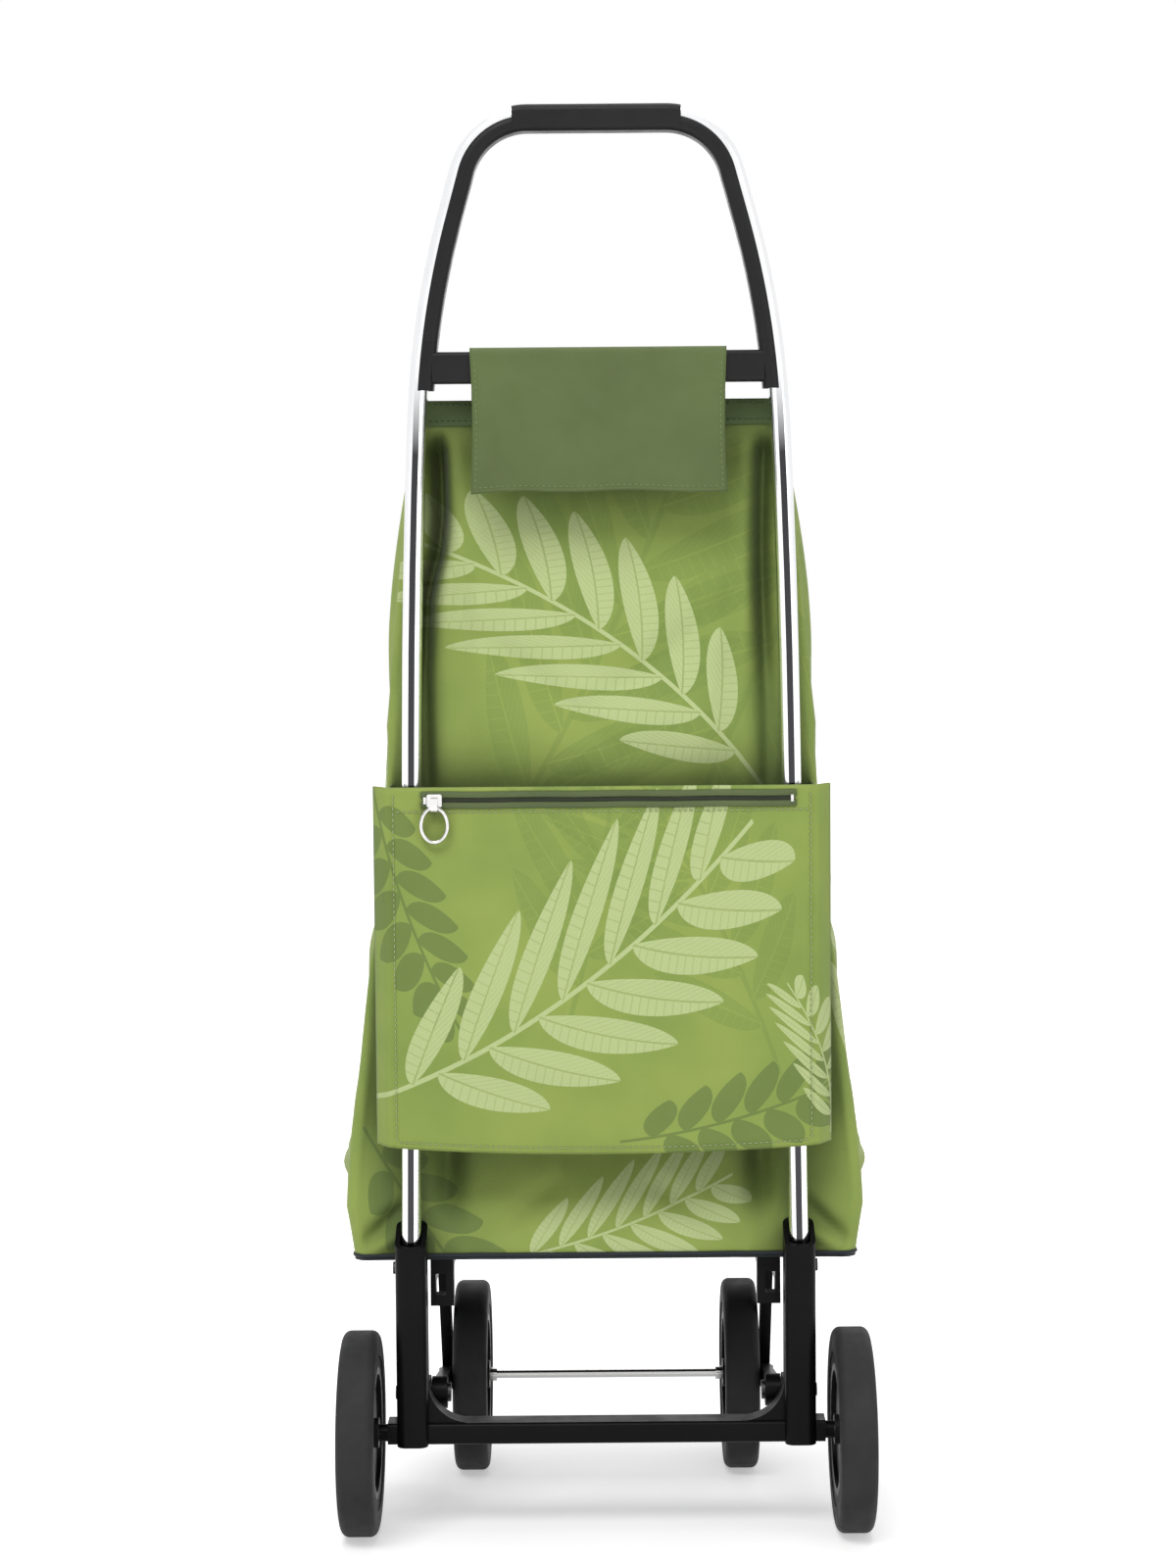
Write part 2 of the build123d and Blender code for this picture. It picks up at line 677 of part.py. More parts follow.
with BuildPart() as front_axle_collars:
    for side in (-1, 1):
        collar_from = side * (front_wheel_inner_x - face_gap)
        collar_to = side * (front_wheel_inner_x - face_gap - collar_length)
        x_cylinder(front_spacer_radius, collar_from, collar_to, wheelbase, wheel_radius)
        x_cylinder(front_axle_radius, collar_from, collar_to, wheelbase, wheel_radius, Mode.SUBTRACT)
front_axle_collars.part.label = "front_axle_collars"


# ---- bag
def bag_width(z):
    """Outer width of the bag at a height: full at the skirt, drawn in towards the mouth."""
    spots = (
        (bag_floor_z, bag_width_floor),
        (bag_skirt_z, bag_width_skirt),
        (bag_waist_z, bag_width_waist),
        (bag_hem_z, bag_width_hem),
        (bag_top_z, bag_width_top),
    )
    for (low_z, low_width), (high_z, high_width) in zip(spots, spots[1:]):
        if z <= high_z:
            return low_width + (high_width - low_width) * (z - low_z) / (high_z - low_z)
    return bag_width_top


def bag_outline(z, inset=0.0, grow=0.0):
    """Level section of the bag: its back follows the leaning frame, its front comes in towards the mouth."""
    height = (z - wheel_radius - bag_back * lean_sin) / lean_cos
    back_y = bag_back * lean_cos - height * lean_sin + inset
    share = (z - bag_floor_z) / (bag_top_z - bag_floor_z)
    front_y = bag_front_low_y + (bag_front_high_y - bag_front_low_y) * share - inset + grow
    width = bag_width(z) - 2 * inset + 2 * grow
    with BuildSketch(Plane.XY.offset(z)) as section:
        with Locations((0, (back_y + front_y) / 2)):
            Rectangle(width, front_y - back_y)
        fillet(section.vertices().group_by(Axis.Y)[0], bag_corner_rear - inset)
        fillet(section.vertices().group_by(Axis.Y)[-1], bag_corner_front - inset)
    return section.sketch


bag_levels = (bag_floor_z + cloth, bag_skirt_z, bag_waist_z, bag_hem_z)
with BuildPart() as bag_shell:
    loft([bag_outline(z) for z in bag_levels], ruled=True)
    loft([bag_outline(z, cloth) for z in bag_levels], ruled=True, mode=Mode.SUBTRACT)
bag_shell.part.label = "bag_shell"

with BuildPart() as bag_hem:
    loft([bag_outline(z, grow=hem_overhang) for z in (bag_hem_z, bag_top_z)], ruled=True)
    loft([bag_outline(z, cloth) for z in (bag_hem_z, bag_top_z)], ruled=True, mode=Mode.SUBTRACT)
bag_hem.part.label = "bag_hem"

with BuildPart() as bag_bottom:
    extrude(bag_outline(bag_floor_z), amount=cloth)
bag_bottom.part.label = "bag_bottom"

with BuildPart() as base_board:
    extrude(bag_outline(bag_floor_z + cloth, cloth + base_board_inset), amount=base_board_thick)
base_board.part.label = "base_board"

# ---- flap hung over the crossbar: the strap is tucked behind the hem, the flap hangs on the user's side
wrap_inner = crossbar_half_depth + face_gap
wrap_outer = wrap_inner + flap_thick
wrap_top = crossbar_high + face_gap + flap_thick
flap_turn_height = wrap_top - flap_thick / 2
flap_turn_depth = wrap_inner + flap_thick / 2
with BuildPart() as flap_strap:
    with BuildSketch(frame_side_plane(-flap_half_width)):
        with Locations((wrap_inner, flap_tuck_low)):
            Rectangle(flap_thick, wrap_top - flap_tuck_low, align=(Align.MIN, Align.MIN))
        with Locations((wrap_outer, wrap_top)):
            Rectangle(wrap_outer + wrap_inner - face_gap, flap_thick, align=(Align.MAX, Align.MAX))
    extrude(amount=2 * flap_half_width)
flap_strap.part.label = "flap_strap"

with BuildPart() as hanging_flap:
    with BuildSketch(frame_side_plane(-flap_half_width)):
        with Locations((-flap_turn_depth, flap_turn_height)):
            Circle(flap_thick / 2)
            Rectangle(flap_thick, flap_turn_height - flap_low, align=(Align.CENTER, Align.MAX))
    extrude(amount=2 * flap_half_width)
hanging_flap.part.label = "hanging_flap"

# ---- rear pocket that sleeves over the tubes
with BuildPart() as rear_pocket:
    with BuildSketch(frame_slice(pocket_inside)):
        with BuildLine():
            Polyline(
                (-pocket_half_width, pocket_low),
                (-pocket_half_width, pocket_high),
                (pocket_half_width, pocket_high),
                (pocket_half_width, pocket_low),
            )
            ThreePointArc(
                (pocket_half_width, pocket_low), (0, pocket_low - pocket_sag), (-pocket_half_width, pocket_low)
            )
        make_face()
    extrude(amount=pocket_thick)
    # seams that join the panel to the back of the bag outside the tubes
    with BuildSketch(frame_slice(-bag_back)):
        for seam_x in (-pocket_seam_x, pocket_seam_x):
            with Locations((seam_x, pocket_low)):
                Rectangle(cloth, pocket_high - pocket_low, align=(Align.CENTER, Align.MIN))
    extrude(amount=bag_back + pocket_inside)
rear_pocket.part.label = "rear_pocket"

with BuildPart() as zip_tape:
    with BuildSketch(frame_slice(pocket_outside)):
        with Locations(((zip_from_x + zip_to_x) / 2, zip_height)):
            Rectangle(zip_to_x - zip_from_x, zip_tape_height)
    extrude(amount=zip_tape_thick)
zip_tape.part.label = "zip_tape"

chain_from_x = zip_from_x + 2 * zip_stop_length
chain_to_x = zip_to_x - 2 * zip_stop_length
with BuildPart() as zip_chain:
    with BuildSketch(frame_slice(tape_outside)):
        with Locations(((chain_from_x + chain_to_x) / 2, zip_height)):
            Rectangle(chain_to_x - chain_from_x, zip_chain_height)
    extrude(amount=zip_chain_thick)
zip_chain.part.label = "zip_chain"

with BuildPart() as zip_stops:
    with BuildSketch(frame_slice(tape_outside)):
        stop_from_left = chain_from_x - zip_stop_length / 2
        stop_from_right = chain_to_x + zip_stop_length / 2
        with Locations((stop_from_left, zip_height), (stop_from_right, zip_height)):
            Rectangle(zip_stop_length, zip_stop_height)
    extrude(amount=2 * zip_chain_thick)
zip_stops.part.label = "zip_stops"

slider_under = chain_outside + face_gap
slider_outside = slider_under + slider_plate
bail_height = zip_height - bail_drop
bail_depth = slider_outside + bail_hole_radius
with BuildPart() as zip_slider:
    with BuildSketch(frame_slice(slider_under)):
        with Locations((slider_x, zip_height)):
            RectangleRounded(slider_length, slider_height, slider_corner)
    extrude(amount=slider_plate)
    # lips down both sides of the chain
    lip_height = (slider_height - zip_chain_height) / 2 - face_gap
    with BuildSketch(frame_slice(tape_outside + face_gap)):
        for lip_spot in (zip_height - slider_height / 2, zip_height + slider_height / 2 - lip_height):
            with Locations((slider_x, lip_spot)):
                Rectangle(slider_length - 2 * slider_corner, lip_height, align=(Align.CENTER, Align.MIN))
    extrude(amount=slider_under - tape_outside)
    # bail with the hole that the ring hangs in
    with BuildSketch(frame_side_plane(slider_x - bail_width / 2)):
        with Locations((-bail_depth, bail_height)):
            Circle(bail_hole_radius + bail_wall)
            Rectangle(bail_hole_radius + bail_wall, bail_length, align=(Align.MAX, Align.MIN))
            Rectangle(bail_hole_radius, bail_length, align=(Align.MIN, Align.MIN))
            Circle(bail_hole_radius, mode=Mode.SUBTRACT)
    extrude(amount=bail_width)
zip_slider.part.label = "zip_slider"

with BuildPart() as ring_puller:
    with BuildLine(frame_slice(bail_depth)) as ring_path:
        ring_middle = (slider_x, bail_height - ring_half_height)
        EllipticalCenterArc(ring_middle, ring_half_width, ring_half_height, start_angle=0, arc_size=360)
    with BuildSketch(Plane(origin=ring_path.line @ 0, z_dir=ring_path.line % 0)):
        Circle(ring_wire_radius)
    sweep()
ring_puller.part.label = "ring_puller"

pieces = (
    frame_tube,
    handle_grip,
    grip_liner_left,
    grip_liner_right,
    handle_crossbar,
    rear_chassis,
    tube_rivets,
    rear_axle,
    rear_axle_caps,
    rear_wheel_spacers,
    rear_tyre_left,
    rear_tyre_right,
    rear_rim_left,
    rear_rim_right,
    front_tyre_left,
    front_tyre_right,
    front_rim_left,
    front_rim_right,
    front_arm_left,
    front_arm_right,
    front_pivot_pins,
    front_pivot_caps,
    bag_tray,
    tray_screws,
    front_axle,
    front_axle_caps,
    front_wheel_spacers,
    front_axle_collars,
    bag_shell,
    bag_hem,
    bag_bottom,
    base_board,
    flap_strap,
    hanging_flap,
    rear_pocket,
    zip_tape,
    zip_chain,
    zip_stops,
    zip_slider,
    ring_puller,
)
os.makedirs("parts", exist_ok=True)
# the pieces are drawn around the rear axle and handed over with Y = 0 at the middle of the whole trolley
rearmost_y = min(piece.part.bounding_box().min.Y for piece in pieces)
foremost_y = max(piece.part.bounding_box().max.Y for piece in pieces)
middle_y = (rearmost_y + foremost_y) / 2
for piece in pieces:
    placed = piece.part.moved(Location((0, -middle_y, 0)))
    placed.label = piece.part.label
    export_step(placed, f"parts/{placed.label}.step")
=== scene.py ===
"""Looks of the four-wheeled shopping trolley: cloth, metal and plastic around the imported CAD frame.

Metres, +Z up, floor at Z = 0. The user and the handle are on the -Y side.
"""
import json
from math import atan2, cos, pi, radians, sin

import bpy
import numpy as np
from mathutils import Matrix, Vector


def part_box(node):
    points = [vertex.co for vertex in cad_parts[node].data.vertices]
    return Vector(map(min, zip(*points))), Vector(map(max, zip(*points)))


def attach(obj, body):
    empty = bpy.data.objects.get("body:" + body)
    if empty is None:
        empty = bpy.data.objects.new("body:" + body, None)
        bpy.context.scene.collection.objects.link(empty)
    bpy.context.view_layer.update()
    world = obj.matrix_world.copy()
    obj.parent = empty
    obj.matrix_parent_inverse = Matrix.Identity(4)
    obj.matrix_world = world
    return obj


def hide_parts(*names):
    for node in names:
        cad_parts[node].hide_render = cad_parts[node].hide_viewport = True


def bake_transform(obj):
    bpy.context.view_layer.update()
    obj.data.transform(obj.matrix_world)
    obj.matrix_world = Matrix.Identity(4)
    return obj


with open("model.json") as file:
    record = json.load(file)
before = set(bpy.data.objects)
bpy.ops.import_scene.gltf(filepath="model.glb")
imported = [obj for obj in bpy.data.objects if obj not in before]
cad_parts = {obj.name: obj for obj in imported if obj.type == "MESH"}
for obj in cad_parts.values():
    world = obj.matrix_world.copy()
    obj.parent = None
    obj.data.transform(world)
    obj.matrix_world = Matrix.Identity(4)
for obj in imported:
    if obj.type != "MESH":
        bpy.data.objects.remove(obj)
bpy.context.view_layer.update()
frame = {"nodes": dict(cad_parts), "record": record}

axle_low, axle_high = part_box("rear_axle")
AXLE_Y = (axle_low[1] + axle_high[1]) / 2

# ---------------------------------------------------------------- camera, at the photograph's angle
PHOTO_HEIGHT = 1600
CAMERA_SHIFT = (-13, -96)  # in pixels of the photograph
CAMERA_BACK, CAMERA_HEIGHT = 2.243, 0.628
CAMERA_ROLL = radians(0.46)
camera_data = bpy.data.cameras.new("camera")
camera_data.lens = 69.0
camera_data.shift_x = CAMERA_SHIFT[0] / PHOTO_HEIGHT
camera_data.shift_y = CAMERA_SHIFT[1] / PHOTO_HEIGHT
camera_data.clip_end = 60.0
camera = bpy.data.objects.new("camera", camera_data)
camera.location = (0.0, AXLE_Y - CAMERA_BACK, CAMERA_HEIGHT)
camera.rotation_euler = (radians(90), CAMERA_ROLL, 0.0)
bpy.context.scene.collection.objects.link(camera)
bpy.context.scene.camera = camera

# ---------------------------------------------------------------- shared dimensions, in metres
# The tubes and rear legs lie in a plane through the rear axle that leans back. On it, s runs up along the
# tubes from the axle and n stands out towards the user.
LEAN = radians(4.0)
ORIGIN_Z = 0.075
# the bag's back behind that plane, its levels, and its width at each
BAG_BACK = 0.0155
BAG_LOW, BAG_SKIRT, BAG_WAIST, BAG_HEM, BAG_TOP = 0.204, 0.242, 0.604, 0.823, 0.841
BAG_WIDTH = ((BAG_LOW, 0.376), (BAG_SKIRT, 0.386), (BAG_WAIST, 0.322), (BAG_HEM, 0.272), (BAG_TOP, 0.268))
# the bag's front, measured from the rear axle at its foot and its mouth, and its corner radii
FRONT_LOW, FRONT_HIGH = 0.230, 0.138
REAR_CORNER, FRONT_CORNER = 0.010, 0.032
BAG_CLOTH, HEM_CLOTH, GUSSET_CLOTH, FLAP_CLOTH = 0.0022, 0.0032, 0.0015, 0.0016
POCKET_HALF, POCKET_LOW, POCKET_HIGH, POCKET_DEPTH = 0.168, 0.2195, 0.485, 0.0162
SEAM_X = 0.155
ZIP_S = 0.4757
ZIP_FROM, ZIP_TO = -0.132, 0.142
ZIP_BAND_OFF, ZIP_BAND_HALF, ZIP_BAND_N = 0.0038, 0.0023, 0.0169
COIL_PITCH, COIL_N, COIL_END = 0.00145, 0.0168, 0.004
FLAP_HALF, FLAP_LOW, FLAP_TUCK = 0.093, 0.700, 0.742
FLAP_TURN_S, FLAP_DEPTH = 0.80265, 0.0133
FLAP_CLEAR, FLAP_BEND = 0.0008, 0.004

# Creases, each as across and up at one end, the same at the other end, half width and height.
# Across is x on the back and front, and y from the rear axle on the sides.
FOLD_Z = (0.560, 0.640, 0.696, 0.7125, 0.732, 0.760, 0.790, 0.825)
LEFT_FOLD = (-0.128, -0.130, -0.128, -0.1245, -0.1190, -0.1160, -0.1165, -0.1185)
RIGHT_FOLD = 0.1215
BACK_CREASES = (
    (-0.098, 0.80, -0.076, 0.56, 0.012, 0.0030),
    (0.098, 0.79, 0.070, 0.56, 0.013, 0.0028),
    (-0.10, 0.68, 0.02, 0.575, 0.012, -0.0040),
    (0.11, 0.70, -0.01, 0.61, 0.012, -0.0036),
    (-0.04, 0.76, 0.05, 0.60, 0.020, 0.0020),
)
LOWER_CREASES = (  # on both sides of the middle
    (0.140, 0.252, 0.182, 0.212, 0.006, -0.0060),
    (0.132, 0.232, 0.184, 0.206, 0.005, 0.0035),
    (0.105, 0.208, 0.030, 0.262, 0.009, -0.0034),
    (0.172, 0.30, 0.160, 0.56, 0.010, -0.0030),
)
SIDE_GAIN, FRONT_GAIN = 1.7, 1.8
SIDE_CREASES = (
    (0.01, 0.82, 0.05, 0.40, 0.012, 0.0060),
    (0.05, 0.80, 0.02, 0.46, 0.012, -0.0070),
    (0.09, 0.82, 0.14, 0.36, 0.014, 0.0062),
    (0.12, 0.74, 0.16, 0.26, 0.014, -0.0062),
    (-0.02, 0.60, 0.05, 0.24, 0.013, -0.0048),
    (0.17, 0.42, 0.10, 0.23, 0.016, 0.0046),
    (0.02, 0.30, 0.19, 0.225, 0.012, 0.0036),
    (-0.01, 0.44, 0.15, 0.50, 0.016, -0.0030),
)
FRONT_CREASES = (
    (-0.10, 0.83, -0.05, 0.42, 0.016, 0.0058),
    (0.02, 0.82, 0.06, 0.38, 0.018, -0.0064),
    (0.11, 0.82, 0.07, 0.40, 0.013, 0.0052),
    (-0.13, 0.62, 0.00, 0.26, 0.018, -0.0056),
    (0.15, 0.50, 0.04, 0.24, 0.016, 0.0048),
    (-0.06, 0.80, -0.02, 0.55, 0.011, -0.0044),
    (-0.16, 0.30, 0.10, 0.235, 0.013, 0.0034),
    (-0.12, 0.47, 0.12, 0.52, 0.020, -0.0030),
)
POCKET_CREASES = (  # up is s here
    (-0.13, 0.46, -0.06, 0.28, 0.016, 0.0012),
    (0.12, 0.45, 0.07, 0.26, 0.018, -0.0012),
    (-0.14, 0.30, 0.10, 0.25, 0.012, 0.0010),
    (0.00, 0.47, 0.05, 0.33, 0.020, 0.0010),
)


def leaning(x, s, n):
    """Row-frame points for places on the leaning frame: s up along the tubes, n towards the user."""
    x, s, n = np.broadcast_arrays(np.asarray(x, float), s, n)
    y = AXLE_Y - s * sin(LEAN) - n * cos(LEAN)
    z = ORIGIN_Z + s * cos(LEAN) - n * sin(LEAN)
    return np.stack([x, y, z], axis=-1)


def crease(a, b, a0, b0, a1, b1, width, depth):
    """A soft ridge (or, with a negative depth, a valley) along a line on a sheet, fading at both ends."""
    da, db = a1 - a0, b1 - b0
    length = (da * da + db * db) ** 0.5
    along = ((a - a0) * da + (b - b0) * db) / length ** 2
    across = ((a - a0) * db - (b - b0) * da) / length
    fade = np.clip(4 * along * (1 - along), 0, 1) ** 0.7
    return depth * fade * np.exp(-(across / width) ** 2)


def gully(a, sharp, gentle):
    """1 at 0, falling off sharply for negative values and gently for positive ones."""
    return np.exp(-(a / np.where(a < 0, sharp, gentle)) ** 2)


def bump(a, low, high):
    """0 outside low..high, 1 halfway, smooth."""
    t = np.clip((a - low) / (high - low), 0, 1)
    return np.sin(pi * t) ** 2


def ramp(a, low, high):
    """0 below low, 1 above high, smooth."""
    t = np.clip((a - low) / (high - low), 0, 1)
    return t * t * (3 - 2 * t)


# ---------------------------------------------------------------- mesh helpers
def new_piece(name, verts, faces, material, body, uvs=None):
    """A smooth-shaded piece that rides on a body, with one cloth coordinate for each face corner."""
    mesh = bpy.data.meshes.new(name)
    mesh.from_pydata([tuple(map(float, v)) for v in verts], [], faces)
    mesh.materials.append(material)
    mesh.polygons.foreach_set("use_smooth", [True] * len(mesh.polygons))
    if uvs is not None:
        layer = mesh.uv_layers.new(name="cloth")
        layer.data.foreach_set("uv", np.asarray(uvs, dtype=np.float32).ravel())
    mesh.update()
    piece = bpy.data.objects.new(name, mesh)
    bpy.context.scene.collection.objects.link(piece)
    if body:
        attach(piece, body)
    return piece


def sheet_piece(name, points, uv, material, body, closed=False):
    """A piece from a grid of points with their cloth coordinates; closed joins the last column to the first."""
    rows, columns = points.shape[:2]
    faces = []
    corners = []
    last = columns if closed else columns - 1
    for r in range(rows - 1):
        for c in range(last):
            d = (c + 1) % columns
            faces.append((r * columns + c, r * columns + d, (r + 1) * columns + d, (r + 1) * columns + c))
            # past the join the cloth goes on by one more step instead of jumping back
            step = uv[r, c, 0] + (uv[r, c, 0] - uv[r, c - 1, 0]) if d == 0 else uv[r, d, 0]
            corners += [(uv[r, c, 0], uv[r, c, 1]), (step, uv[r, d, 1])]
            corners += [(step, uv[r + 1, d, 1]), (uv[r + 1, c, 0], uv[r + 1, c, 1])]
    return new_piece(name, points.reshape(-1, 3), faces, material, body, corners)


def thicken(piece, thickness, offset=-1.0):
    """Gives a sheet its thickness: -1 inwards, 0 to both sides."""
    solid = piece.modifiers.new("thickness", "SOLIDIFY")
    solid.thickness = thickness
    solid.offset = offset
    solid.use_even_offset = False
    return piece


def piping_piece(name, path, radius, material, body, sides=10):
    """A closed round bead swept along points that lie about level."""
    path = np.asarray(path, float)
    ahead = np.roll(path, -1, 0) - np.roll(path, 1, 0)
    ahead /= np.linalg.norm(ahead, axis=1)[:, None]
    side = np.cross(ahead, (0.0, 0.0, 1.0))
    side /= np.linalg.norm(side, axis=1)[:, None]
    third = np.cross(side, ahead)
    angles = np.arange(sides) * 2 * pi / sides
    ring = side[:, None] * np.cos(angles)[None, :, None] + third[:, None] * np.sin(angles)[None, :, None]
    points = path[:, None] + radius * ring
    count = len(path)
    faces = []
    for r in range(count):
        for c in range(sides):
            d = (c + 1) % sides
            e = (r + 1) % count
            faces.append((r * sides + c, r * sides + d, e * sides + d, e * sides + c))
    return new_piece(name, points.reshape(-1, 3), faces, material, body)


STITCH_PITCH, STITCH_LENGTH, STITCH_SIDES = 0.0042, 0.0028, 6
STITCH_SHOULDERS = (0.22, 0.78)


def stitch_piece(name, paths, material, body, radius=0.00042):
    """Rows of sewn stitches: short spindles laid end to end along each path."""
    verts = []
    faces = []
    for path in paths:
        path = np.asarray(path, float)
        steps = np.linalg.norm(np.diff(path, axis=0), axis=1)
        travelled = np.concatenate([[0], np.cumsum(steps)])
        for start in np.arange(STITCH_PITCH / 2, travelled[-1] - STITCH_LENGTH, STITCH_PITCH):
            ends = [np.array([np.interp(t, travelled, path[:, k]) for k in range(3)])
                    for t in (start, start + STITCH_LENGTH)]
            along = ends[1] - ends[0]
            along /= np.linalg.norm(along)
            side = np.cross(along, (0.3, 0.2, 0.93))
            side /= np.linalg.norm(side)
            third = np.cross(along, side)
            base = len(verts)
            verts.append(ends[0])
            for share in STITCH_SHOULDERS:
                centre = ends[0] + (ends[1] - ends[0]) * share
                for k in range(STITCH_SIDES):
                    turn = 2 * pi * k / STITCH_SIDES
                    verts.append(centre + radius * (cos(turn) * side + sin(turn) * third))
            verts.append(ends[1])
            near, far = base + 1, base + 1 + STITCH_SIDES
            for k in range(STITCH_SIDES):
                m = (k + 1) % STITCH_SIDES
                faces.append((base, near + m, near + k))
                faces.append((near + k, near + m, far + m, far + k))
                faces.append((far + k, far + m, far + STITCH_SIDES))
    return new_piece(name, verts, faces, material, body)


# ---------------------------------------------------------------- node helpers
class Nodes:
    """Short calls for building a material's node tree."""

    def __init__(self, name):
        self.material = bpy.data.materials.new(name)
        self.material.use_nodes = True
        self.tree = self.material.node_tree
        self.shader = self.tree.nodes["Principled BSDF"]

    def add(self, kind, **values):
        node = self.tree.nodes.new(kind)
        for key, value in values.items():
            setattr(node, key, value)
        return node

    def join(self, value, socket):
        if isinstance(value, bpy.types.NodeSocket):
            self.tree.links.new(value, socket)
        else:
            socket.default_value = value

    def math(self, operation, *values):
        node = self.add("ShaderNodeMath", operation=operation)
        for value, socket in zip(values, node.inputs):
            self.join(value, socket)
        return node.outputs[0]

    def noise(self, vector, scale, detail=2.0, rough=0.5):
        node = self.add("ShaderNodeTexNoise")
        self.join(vector, node.inputs["Vector"])
        node.inputs["Scale"].default_value = scale
        node.inputs["Detail"].default_value = detail
        node.inputs["Roughness"].default_value = rough
        return node.outputs[0]

    def mix(self, factor, first, second):
        node = self.add("ShaderNodeMix", data_type="RGBA")
        self.join(factor, node.inputs[0])
        self.join(first, node.inputs[6])
        self.join(second, node.inputs[7])
        return node.outputs[2]

    def span(self, value, low, high, new_low=0.0, new_high=1.0):
        node = self.add("ShaderNodeMapRange")
        self.join(value, node.inputs["Value"])
        node.inputs["From Min"].default_value = low
        node.inputs["From Max"].default_value = high
        node.inputs["To Min"].default_value = new_low
        node.inputs["To Max"].default_value = new_high
        return node.outputs[0]

    def place(self):
        return self.add("ShaderNodeTexCoord").outputs["Object"]

    def cloth_place(self):
        """The cloth coordinates, in metres, as a vector and one by one."""
        uv = self.add("ShaderNodeUVMap", uv_map="cloth")
        split = self.add("ShaderNodeSeparateXYZ")
        self.join(uv.outputs[0], split.inputs[0])
        return uv.outputs[0], split.outputs[0], split.outputs[1]

    def bump(self, height, strength, distance, below=None):
        """A normal from a height, laid over the normal below."""
        node = self.add("ShaderNodeBump")
        node.inputs["Strength"].default_value = strength
        node.inputs["Distance"].default_value = distance
        self.join(height, node.inputs["Height"])
        if below is not None:
            self.join(below, node.inputs["Normal"])
        return node.outputs[0]

    def hollows(self, distance):
        """1 on open faces, less in folds and gaps; the cloth uses it to paint shade into its colour."""
        node = self.add("ShaderNodeAmbientOcclusion", samples=8)
        node.inputs["Distance"].default_value = distance
        return node.outputs["AO"]

    def set(self, **values):
        """Joins or sets the shader's inputs by name, and hands back the material."""
        for key, value in values.items():
            self.join(value, self.shader.inputs[key.replace("_", " ")])
        return self.material


def shade(red, green, blue):
    return (red, green, blue, 1.0)


def weave(n, u, v, thread):
    """Height of a plain weave: over-and-under threads in both directions."""
    warp = n.math("SINE", n.math("MULTIPLY", u, pi / thread))
    weft = n.math("SINE", n.math("MULTIPLY", v, pi / thread))
    return n.math("MULTIPLY", warp, weft)


LEAF_SPACING, LEAF_LENGTH, LEAF_HALF_WIDTH, LEAF_SLANT = 0.040, 0.105, 0.0125, 0.9
STEM_LENGTH, STEM_FOOT, STEM_HALF_WIDTH = 0.30, 0.03, 0.0017
VEIN_HALF_WIDTH, VEIN_PITCH = 0.0006, 0.0062


def sprig(n, u, v, x, y, turn, scale, bend, leaf=LEAF_LENGTH, half_width=LEAF_HALF_WIDTH, slant=LEAF_SLANT):
    """Masks (leaf, vein) of one sprig of broad pointed leaves set alternately along a curved stem."""
    du = n.math("SUBTRACT", u, x)
    dv = n.math("SUBTRACT", v, y)
    c, s = cos(turn) / scale, sin(turn) / scale
    along = n.math("ADD", n.math("MULTIPLY", du, c), n.math("MULTIPLY", dv, s))
    aside = n.math("SUBTRACT", n.math("MULTIPLY", dv, c), n.math("MULTIPLY", du, s))
    aside = n.math("SUBTRACT", aside, n.math("MULTIPLY", n.math("MULTIPLY", along, along), bend))
    reach = n.math("ABSOLUTE", aside)
    side = n.math("MULTIPLY", n.math("SIGN", aside), 0.25)
    curve = n.math("MULTIPLY", n.math("MULTIPLY", reach, reach), 2.2)
    foot = n.math("SUBTRACT", n.math("SUBTRACT", along, n.math("MULTIPLY", reach, slant)), curve)
    turns = n.math("ADD", n.math("DIVIDE", foot, LEAF_SPACING), side)
    cell = n.math("FLOOR", turns)
    across = n.math("MULTIPLY", n.math("SUBTRACT", n.math("FRACT", turns), 0.5), LEAF_SPACING * 0.74)
    root = n.math("MULTIPLY", n.math("ADD", cell, 0.5), LEAF_SPACING / STEM_LENGTH)
    inside = n.math("MULTIPLY", n.math("GREATER_THAN", root, 0.02), n.math("LESS_THAN", root, 0.98))
    # the leaves are longest a little above the middle of the stem
    arch = n.math("MULTIPLY", n.math("ADD", n.math("MULTIPLY", root, 0.80), 0.17), pi)
    arch = n.math("MAXIMUM", n.math("SINE", arch), 0.02)
    size = n.math("MULTIPLY", n.math("POWER", arch, 0.6), leaf)
    share = n.math("DIVIDE", n.math("MULTIPLY", reach, (1 + slant * slant) ** 0.5), size)
    hump = n.math("MULTIPLY", n.math("SUBTRACT", 1.0, share), n.math("MULTIPLY", share, 4.0))
    hump = n.math("MAXIMUM", hump, 0.0)
    width = n.math("MULTIPLY", n.math("POWER", hump, 0.8), half_width)
    gap = n.math("ABSOLUTE", across)
    blade = n.math("MULTIPLY", n.math("LESS_THAN", gap, width), inside)
    above_foot = n.math("GREATER_THAN", along, -STEM_FOOT)
    stalk_ends = n.math("MULTIPLY", above_foot, n.math("LESS_THAN", along, STEM_LENGTH))
    stalk = n.math("MULTIPLY", n.math("LESS_THAN", reach, STEM_HALF_WIDTH), stalk_ends)
    rib = n.math("LESS_THAN", gap, VEIN_HALF_WIDTH)
    ticks = n.math("DIVIDE", n.math("SUBTRACT", n.math("MULTIPLY", reach, 1.35), gap), VEIN_PITCH)
    ticks = n.math("MULTIPLY", n.math("LESS_THAN", n.math("FRACT", ticks), 0.13), 0.6)
    vein = n.math("MULTIPLY", n.math("MAXIMUM", rib, ticks), blade)
    return n.math("MAXIMUM", blade, stalk), vein


